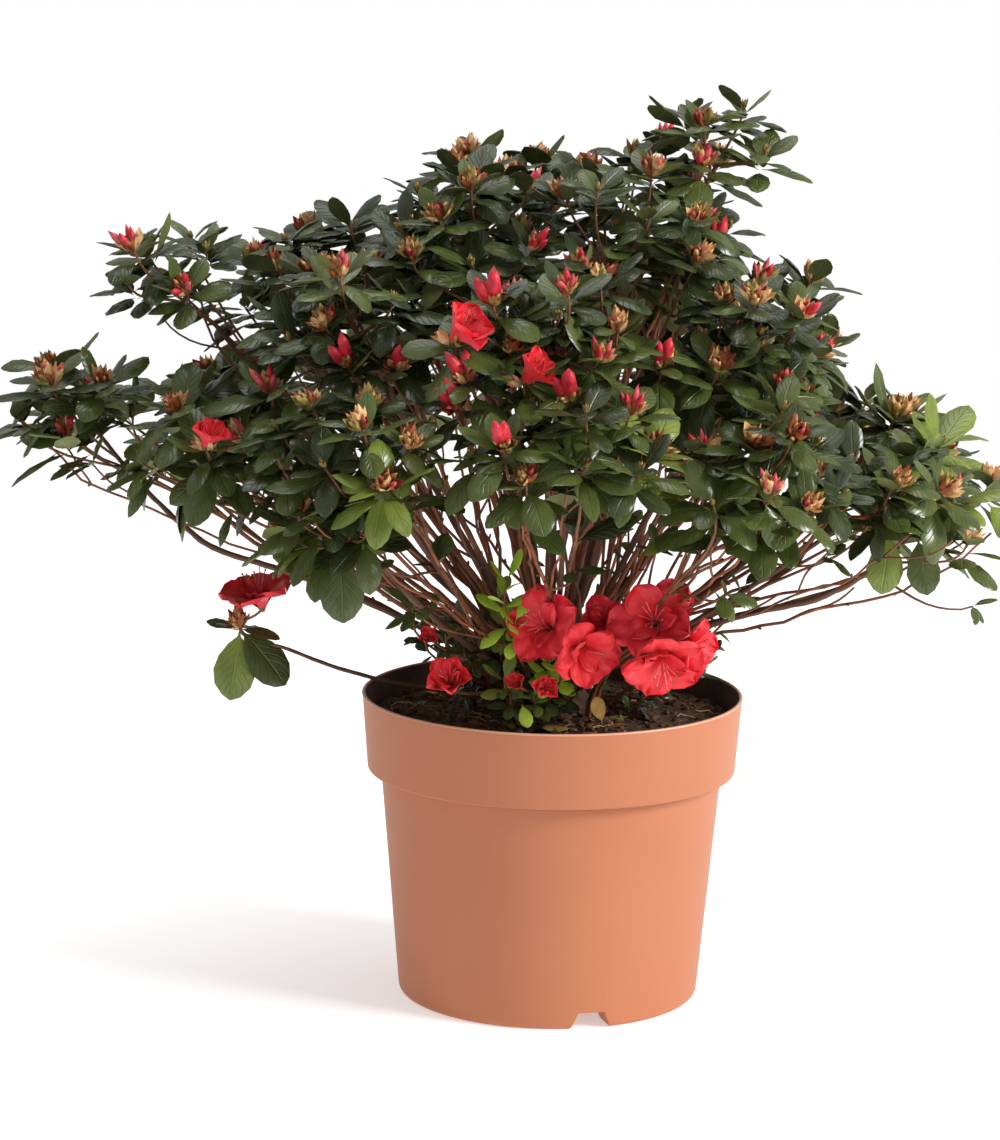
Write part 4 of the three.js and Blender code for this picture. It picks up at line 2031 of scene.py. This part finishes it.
    def add_stubs(self, stem: Line) -> None:
        """Leaves the short stubs of fallen twigs on a stem.

        Args:
            stem: The stem's line.
        """
        for _ in range(self.stubs):
            start, ahead, girth = stem.at(self.chance.uniform(0.05, 0.9))
            side = jitter(self.chance, 1).cross(ahead).normalized()
            end = start + (side + ahead * 0.8).normalized() * (girth + self.chance.uniform(1.2, 3.2) * MM)
            girths = (min(girth, 0.9 * MM), 0.6 * MM)
            self.twigs.lines.append(curve(start, side, ahead + side, end, girths, 3))

    def waver(self, line: Line, amount: float) -> None:
        """Makes a line a little uneven, its ends left in place.

        Args:
            line: The line.
            amount: The largest shift.
        """
        last = len(line.points) - 1
        for k in range(1, last):
            fade = min(1, k / 3, (last - k) / 3)
            line.points[k] += noise.noise_vector(line.points[k] * 45) * amount * fade

    def dress(self, shoot: Shoot, twig: Line) -> None:
        """Puts the leaves and the load on a shoot.

        Args:
            shoot: The shoot.
            twig: Its twig.
        """
        chance = self.chance
        piece = self.piece_for(shoot.mass)
        spin = chance.uniform(0, tau)
        for k in range(shoot.leaves):
            share = k / max(1, shoot.leaves - 1)
            turn = spin + k * GOLDEN_TURN + chance.uniform(-0.2, 0.2)
            polar = radians(mix(50, 90, share) + chance.uniform(-10, 10))
            side = beside(shoot.axis, turn)
            foot = shoot.tip - shoot.axis * mix(0.5, 9, share) * MM + side * 0.6 * MM
            along = shoot.axis * cos(polar) + side * sin(polar)
            along = (along + UP * (0.16 - 0.12 * share)).normalized()
            along.z = max(along.z, -0.45)
            size = shoot.length * mix(0.78, 1.0, min(1, share * 2)) * chance.uniform(0.86, 1.12)
            self.leaf(piece, foot, along, shoot.axis, size, shoot.tone)
        for _ in range(chance.randint(1, 3)):
            share = chance.uniform(0.35, 0.85)
            foot, heading, _ = twig.at(share)
            side = beside(heading, chance.uniform(0, tau))
            along = (side + heading * 0.45 - UP * 0.1).normalized()
            size = shoot.length * chance.uniform(0.8, 1.1)
            self.leaf(piece, foot, along, heading + UP * 0.6, size, shoot.tone)
        self.load(shoot)

    def leaf(self, piece: str, foot: Vector, along: Vector, top: Vector, length: float, tone: Tone) -> None:
        """Puts one leaf in place.

        Args:
            piece: The name of the piece it goes into.
            foot: Where its stalk starts.
            along: The direction it grows in.
            top: The side its top looks to.
            length: Its length.
            tone: Its tone.
        """
        chance = self.chance
        upwards = top * 0.6 + UP * 0.55 + jitter(chance, 0.3)
        shade = tone if chance.random() < 0.85 else Tone.MID
        breadth = length * chance.uniform(0.9, 1.12)
        form = chance.randrange(len(LEAF_FORMS))
        size = Vector((length, breadth, length))
        self.leaves.put(piece, Place(foot, lie(along, upwards), size, form, shade))

    def load(self, shoot: Shoot) -> None:
        """Puts the buds or bloom on a shoot.

        Args:
            shoot: The shoot.
        """
        chance = self.chance
        if shoot.stage in (Stage.OPEN, Stage.HALF):
            self.flower(shoot)
            return
        counts = {Stage.BARE: 1, Stage.TIGHT: 6, Stage.TIPPED: 6, Stage.SPINDLE: 5}
        count = counts[shoot.stage] + (chance.randint(-1, 1) if shoot.stage is not Stage.BARE else 0)
        for k in range(count):
            lean = 0 if count == 1 else mix(8, 42, k / count) + chance.uniform(-6, 6)
            self.bud(shoot, k, radians(lean))

    def bud(self, shoot: Shoot, number: int, lean: float) -> None:
        """Puts one bud on a shoot.

        Args:
            shoot: The shoot.
            number: Which of its buds it is.
            lean: How far it leans from the shoot's axis, in radians.
        """
        chance = self.chance
        side = beside(shoot.axis, number * GOLDEN_TURN + chance.uniform(-0.4, 0.4))
        axis = shoot.axis * cos(lean) + side * sin(lean)
        foot = shoot.tip + side * 1.3 * MM * sin(lean)
        bract = chance.choices((0, 1, 2), (6, 5, 2))[0]
        shape, tip, length = chance.choice((0, 1)), chance.choices((0, 1), (5, 1))[0], chance.uniform(10, 15)
        if shoot.stage is Stage.BARE:
            shape, bract, length = 1, 2, chance.uniform(6, 8)
        elif shoot.stage is Stage.TIPPED and number % 2 == 0:
            shape, tip, length = 2, chance.choice((1, 2)), chance.uniform(12, 16)
        elif shoot.stage is Stage.SPINDLE and number < 2:
            shape, tip, length = 3, 2, chance.uniform(18, 23)
        wide = length * chance.uniform(0.82, 1.05) * (1.2 if shape == 3 else 1)
        size = Vector((wide, wide, length)) * MM
        self.buds.put("buds", Place(foot, stand(axis, chance.uniform(0, 6)), size, shape, bract * 3 + tip))

    def flower(self, shoot: Shoot) -> None:
        """Puts a bloom on a shoot, with a bud or two beside it.

        Args:
            shoot: The shoot.
        """
        chance = self.chance
        face = (shoot.axis * 0.6 + Vector((chance.uniform(-0.9, 0.9), -0.2, 0.45))).normalized()
        opened = shoot.stage is Stage.OPEN
        shape = chance.choice((4, 5)) if opened else chance.choice((3, 5))
        size = chance.uniform(0.7, 0.78) if opened else chance.uniform(0.55, 0.66)
        where = shoot.tip + shoot.axis * 3 * MM
        self.bloom(where, face, size, shape)
        for k in range(2):
            self.bud(shoot, k + 1, radians(40))

    def bloom(self, where: Vector, face: Vector, size: float, shape: int) -> None:
        """Puts one bloom in place, by the foot of its tube and where it looks."""
        turn = stand(face, self.chance.uniform(0, 6))
        self.blooms.put("blooms", Place(where, turn, Vector((size,) * 3), shape, self.chance.randrange(2)))

    @staticmethod
    def piece_for(mass: str) -> str:
        """Names the piece of leaves that a mass belongs to.

        Args:
            mass: The mass's node.

        Returns:
            The piece's name.
        """
        name = PIECE_OF.get(mass.split("_")[1], "leaves_sides")
        if name in ("leaves_skirt", "leaves_shoulder"):
            low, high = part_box(mass)
            name += "_front" if low.y + high.y < 0 else "_back"
        return name

    def build(self) -> None:
        """Makes the pieces and hands them over."""
        groups: dict[str, list[str]] = {}
        for mass in self.crown:
            groups.setdefault(self.piece_for(mass), []).append(mass)
        groups["leaves_runner"] = ["foliage_runner_tip"]
        for name, piece in self.leaves.build().items():
            hand_over(piece, "foliage", *groups.get(name, ()))
        for piece in self.buds.build().values():
            hand_over(piece, "foliage")
        for piece in self.blooms.build().values():
            hand_over(piece, "blossom", "foliage_base")
        hand_over(self.branches.build(), "bark")
        hand_over(self.twigs.build(), "bark")


# ---- Low growth ----


# Each low bloom: shares of the cluster's box along +X, +Y and +Z, where it looks, its size and its shape.
LOW_BLOOMS = (
    ((0.22, 0.0, 0.78), (-0.45, -0.8, 0.35), 0.8, 0),
    ((0.4, -0.1, 0.54), (0.45, -0.8, -0.25), 0.72, 1),
    ((0.46, 0.2, 0.8), (-0.1, -0.8, 0.4), 0.55, 2),
    ((0.64, 0.0, 0.85), (-0.15, -0.85, 0.4), 0.86, 1),
    ((0.68, -0.1, 0.44), (0.1, -0.8, -0.5), 0.84, 0),
    ((0.8, 0.15, 0.58), (0.8, -0.5, 0.0), 0.66, 2),
    ((-0.12, 0.1, 0.26), (-0.1, -0.75, 0.65), 0.6, 5),
    ((0.24, -0.1, 0.24), (0.1, -0.9, 0.3), 0.42, 3),
    ((-0.2, 0.5, 0.56), (-0.3, -0.7, 0.5), 0.34, 3),
    ((0.13, 0.1, 0.24), (-0.3, -0.7, 0.5), 0.34, 3),
)


# Each small leafy twig's tip along +X, +Y and +Z, its leaves' length, count and tone, in millimetres.
LOW_TUFTS = (
    (-25, -84, 248, 19, 10, Tone.YOUNG),
    (-20, -84, 226, 17, 8, Tone.YOUNG),
    (-30, -60, 232, 14, 5, Tone.LIGHT),
    (-3, -76, 204, 15, 11, Tone.YOUNG),
    (4, -76, 198, 13, 8, Tone.YOUNG),
    (-26, -72, 192, 15, 8, Tone.LIGHT),
    (-22, -70, 182, 13, 8, Tone.MID),
    (-10, -72, 182, 12, 8, Tone.LIGHT),
    (0, -70, 184, 12, 8, Tone.MID),
    (8, -70, 186, 13, 7, Tone.DARK),
    (-76, -34, 216, 13, 8, Tone.MID),
    (-66, -40, 220, 13, 9, Tone.MID),
    (-58, -44, 210, 13, 9, Tone.MID),
    (-50, -44, 218, 12, 9, Tone.DARK),
    (-48, -48, 202, 13, 8, Tone.MID),
    (-70, -34, 204, 12, 8, Tone.DARK),
    (-40, -50, 212, 13, 8, Tone.DARK),
    (96, -16, 222, 15, 8, Tone.MID),
    (104, -8, 232, 15, 7, Tone.MID),
    (84, -26, 196, 13, 7, Tone.DARK),
    (40, -6, 262, 15, 7, Tone.MID),
    (-2, -10, 268, 15, 7, Tone.MID),
)

# Each big single leaf's foot, direction, length in millimetres and tone.
HANGING_LEAVES = (
    ((-112, -128, 272), (0.12, -0.35, -1), 40, Tone.MID),
    ((-116, -126, 274), (-0.9, -0.4, -0.12), 32, Tone.LIGHT),
    ((-108, -126, 274), (0.9, -0.3, 0.25), 30, Tone.LIGHT),
    ((181, -24, 266), (-0.1, -0.35, -1), 34, Tone.LIGHT),
    ((196, -26, 264), (0.25, -0.35, -1), 32, Tone.MID),
    ((234, -18, 282), (0.8, -0.3, -0.75), 28, Tone.LIGHT),
    ((27, -74, 169), (-0.2, -0.3, 1), 15, Tone.DRY),
    ((-16, -74, 178), (0.3, -0.5, -0.8), 13, Tone.YOUNG),
)

# Each fallen leaf's foot along +X and +Y, bearing, length, tone and form, in millimetres and degrees.
LITTER = (
    (22, -66, 300, 21, Tone.DRY, 3),
    (34, -70, 255, 17, Tone.DRY, 1),
    (-12, -84, 5, 20, Tone.DRY, 7),
    (-46, -70, 12, 22, Tone.LIGHT, 7),
    (-66, -50, 330, 15, Tone.DRY, 4),
    (62, -52, 40, 15, Tone.DRY, 2),
    (48, -78, 170, 13, Tone.DRY, 0),
)


@dataclass
class LowGrowth:
    """The blooms, young shoots and small-leaved twigs round the foot of the stems, and the litter."""

    foliage: Foliage
    compost: Compost
    seed: int = 23
    dark_tufts: int = 34
    loose_leaves: int = 16

    def __post_init__(self) -> None:
        """Finds the cluster's box."""
        self.chance = random.Random(self.seed)
        self.low, self.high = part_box("foliage_base")

    def build(self) -> None:
        """Adds the low growth to the foliage's kits."""
        for shares, look, size, shape in LOW_BLOOMS:
            spot = Vector([mix(a, b, s) for a, b, s in zip(self.low, self.high, shares)])
            face = Vector(look).normalized()
            foot = spot - face * 14 * MM * size
            self.foliage.bloom(foot, face, size, shape)
            root = Vector((foot.x * 0.35, foot.y * 0.45, 164 * MM))
            self.foliage.twigs.lines.append(curve(root, UP, face, foot, (1.3 * MM, 0.8 * MM), 10))
        for x, y, z, size, count, tone in LOW_TUFTS:
            self.tuft(Vector((x, y, z)) * MM, tone, size, count, Vector((0, -0.35, 1)))
        for foot, along, size, tone in HANGING_LEAVES:
            turn = lie(Vector(along), Vector((0.15, -0.8, 0.6)))
            self.leaf(Vector(foot) * MM, turn, Vector((size, size * 1.12, size)) * MM, 0, tone)
        for k in range(self.dark_tufts):
            turn = self.chance.uniform(0, tau) if k % 2 else radians(self.chance.uniform(170, 300))
            reach = self.chance.uniform(22, 66) * MM
            height = self.chance.uniform(170, 214) * MM
            spot = Vector((reach * cos(turn), reach * sin(turn), height))
            out = Vector((spot.x, spot.y, 0)).normalized()
            self.tuft(spot, Tone.DARK, self.chance.uniform(11, 17), 7, out * 0.5 + UP)
        self.litter()

    def leaf(self, foot: Vector, turn: Euler, size: Vector, form: int, tone: Tone) -> None:
        """Puts one leaf in the low piece."""
        self.foliage.leaves.put("leaves_low", Place(foot, turn, size, form, tone))

    def tuft(self, tip: Vector, tone: Tone, size: float, count: int, axis: Vector) -> None:
        """Grows a small leafy twig.

        Args:
            tip: Its tip.
            tone: Its leaves' tone.
            size: Its leaves' length in millimetres.
            count: How many leaves it has.
            axis: The direction it grows in.
        """
        chance = self.chance
        axis = (axis + jitter(chance, 0.3)).normalized()
        root = Vector((tip.x * 0.4, tip.y * 0.4, 163 * MM))
        twig = curve(root, UP, axis, tip, (1.2 * MM, 0.6 * MM), 8)
        self.foliage.twigs.lines.append(twig)
        for k in range(count):
            share = k / count
            foot, heading, _ = twig.at(1 - share * 0.36)
            side = beside(heading, k * GOLDEN_TURN + chance.uniform(-0.3, 0.3))
            along = side * mix(0.5, 1, share) + heading * mix(0.9, 0.3, share)
            length = size * MM * chance.uniform(0.75, 1.1)
            form = chance.randrange(len(LEAF_FORMS))
            self.leaf(foot, lie(along, heading + UP * 0.3), Vector((length,) * 3), form, tone)

    def litter(self) -> None:
        """Drops a few dry leaves on the compost."""
        chance = self.chance
        for x, y, bearing, length, tone, form in LITTER:
            foot = Vector((x, y, 0)) * MM
            foot.z = self.compost.height(foot.x, foot.y) + 2.5 * MM
            turn = radians(bearing)
            along = Vector((cos(turn), sin(turn), 0.08))
            size = Vector((length,) * 3) * MM
            self.leaf(foot, lie(along, UP + Vector((0, -0.35, 0))), size, form, tone)
        for _ in range(self.loose_leaves):
            turn = chance.uniform(0, tau)
            reach = chance.uniform(45, 88) * MM
            x, y = reach * cos(turn), reach * sin(turn)
            foot = Vector((x, y, self.compost.height(x, y) + 2.2 * MM))
            along = Vector((chance.uniform(-1, 1), chance.uniform(-1, 1), chance.uniform(-0.05, 0.12)))
            inward = Vector((-x, -y, 0)).normalized()
            along = (along.normalized() + inward * 0.8).normalized()
            size = Vector((1, 0.9, 1)) * chance.uniform(11, 22) * MM
            top = UP + Vector((chance.uniform(-0.4, 0.4), chance.uniform(-0.5, 0.1), 0))
            tone = chance.choices((Tone.DRY, Tone.LIGHT), (7, 1))[0]
            self.leaf(foot, lie(along, top), size, chance.randrange(len(LEAF_FORMS)), tone)


@dataclass
class RunnerSpray:
    """The spray at the end of the low runner: big hanging leaves, a bud cluster and one bloom."""

    foliage: Foliage

    def build(self) -> None:
        """Adds the spray to the foliage's kits."""
        low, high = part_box("foliage_runner_tip")
        middle = (low + high) / 2
        tip = Vector((mix(low.x, high.x, 0.45), middle.y, mix(low.z, high.z, 0.5)))
        end, ahead, girth = self.foliage.boughs.lines["runner"].at(TIP)
        axis = Vector((-0.35, -0.25, 1)).normalized()
        twig = curve(end, ahead, axis, tip, (girth, 1 * MM), 10)
        self.foliage.twigs.lines.append(twig)
        leaves = (
            ((-0.12, -0.35, -1), (0.1, -1, 0.5), 40, Tone.LIGHT, 0),
            ((0.85, -0.35, -0.8), (0.3, -0.8, 0.6), 40, Tone.MID, 0),
            ((1, -0.4, 0.02), (0, -0.4, 1), 24, Tone.MID, 7),
            ((-0.9, 0.2, 0.25), (0, -0.3, 1), 20, Tone.MID, 3),
            ((0.3, 0.9, 0.1), (0, -0.3, 1), 24, Tone.DARK, 1),
            ((-0.6, -0.5, 0.3), (0, 0, 1), 17, Tone.MID, 3),
        )
        for along, top, size, tone, form in leaves:
            length = size * MM
            turn = lie(Vector(along), Vector(top))
            place = Place(tip, turn, Vector((length, length * 1.1, length)), form, tone)
            self.foliage.leaves.put("leaves_runner", place)
        shoot = Shoot(tip, axis, "foliage_runner_tip", Stage.TIGHT, Tone.MID, 0, 25 * MM)
        self.foliage.load(shoot)
        bloom = Vector((mix(low.x, high.x, 0.68), middle.y - 6 * MM, mix(low.z, high.z, 0.7)))
        self.foliage.twigs.lines.append(curve(tip, axis, UP, bloom, (0.8 * MM, 0.8 * MM), 6))
        self.foliage.bloom(bloom, Vector((-0.2, -0.3, 1)).normalized(), 0.8, 0)


# ---- Studio ----


@dataclass
class Studio:
    """The pale floor, the soft lights and the camera."""

    distance: float = 2.359
    elevation: float = radians(11.0)
    aim_height: float = 0.2255
    lit_height: float = 0.27
    roll: float = radians(1.028)
    lens_mm: float = 135.6316
    sensor_mm: float = 36.0
    aside: float = -0.012596
    raised: float = 0.005006
    even_light: float = 0.5
    floor_radius: float = 1.9
    floor_sides: int = 96

    def build(self) -> None:
        """Builds the whole studio."""
        self.floor()
        self.world()
        self.light("key", (1.9, -0.9, 1.3), 0.8, 53)
        self.light("overhead", (-0.2, 0.35, 2.1), 1.5, 14)
        self.camera()
        bpy.context.scene.view_settings.view_transform = "Standard"

    def floor(self) -> None:
        """Lays the floor."""
        edge = loop(self.floor_radius, 0, self.floor_sides)
        mesh = drafted("floor", edge, faces=[tuple(range(self.floor_sides))])
        paint = bpy.data.materials.new("floor")
        paint.use_nodes = True
        shader = paint.node_tree.nodes["Principled BSDF"]
        graph = Graph(paint.node_tree)
        graph.feed(shader, Base__Color=(0.9, 0.9, 0.9, 1), Roughness=1.0)
        graph.feed(shader, Emission__Color=(1, 1, 1, 1), Emission__Strength=0.42)
        mesh.materials.append(paint)
        placed("floor", mesh)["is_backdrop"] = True

    def world(self) -> None:
        """Sets the even light from all round."""
        world = bpy.data.worlds.new("studio")
        world.use_nodes = True
        graph = Graph(world.node_tree)
        seen = graph.add("ShaderNodeLightPath").outputs["Is Camera Ray"]
        strength = graph.maths("ADD", graph.maths("MULTIPLY", seen, 1 - self.even_light), self.even_light)
        graph.feed(world.node_tree.nodes["Background"], Color=(1, 1, 1, 1), Strength=strength)
        bpy.context.scene.world = world

    def light(self, name: str, place: tuple[float, float, float], size: float, power: float) -> None:
        """Hangs a soft light that looks at the plant.

        Args:
            name: The light's name.
            place: Where it hangs.
            size: The side of its square.
            power: Its power in watts.
        """
        lamp = bpy.data.lights.new(name, "AREA")
        lamp.size = size
        lamp.energy = power
        piece = placed(name, lamp)
        piece.location = place
        piece.rotation_euler = (UP * self.lit_height - Vector(place)).to_track_quat("-Z", "Y").to_euler()
        piece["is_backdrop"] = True

    def camera(self) -> None:
        """Sets up the camera."""
        ahead = Vector((0, cos(self.elevation), -sin(self.elevation)))
        right = Vector((1, 0, 0))
        up = right.cross(ahead)
        turned = right * cos(self.roll) + up * sin(self.roll)
        upright = up * cos(self.roll) - right * sin(self.roll)
        aim = (ahead + turned * self.aside + upright * self.raised).normalized()
        lens = bpy.data.cameras.new("camera")
        lens.sensor_width = self.sensor_mm
        lens.lens = self.lens_mm
        piece = placed("camera", lens)
        side = aim.cross(upright).normalized()
        turn = Matrix((side, side.cross(aim), -aim)).transposed()
        place = Vector((0, 0, self.aim_height)) - ahead * self.distance
        piece.matrix_world = Matrix.Translation(place) @ turn.to_4x4()
        bpy.context.scene.camera = piece


def main() -> None:
    """Builds the plant, its pot and the studio."""
    noise.seed_set(WAVER_SEED)
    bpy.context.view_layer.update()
    hand_over(Pot().build(), "pot", "pot")
    compost = Compost()
    compost.build()
    hand_over(Trunk().build(), "bark", "trunk")
    boughs = Boughs()
    boughs.trace()
    boughs.build()
    foliage = Foliage(boughs)
    foliage.plan()
    foliage.grow_wood()
    foliage.grow_fan()
    LowGrowth(foliage, compost).build()
    RunnerSpray(foliage).build()
    foliage.build()
    Studio().build()


if __name__ == "__main__":
    main()
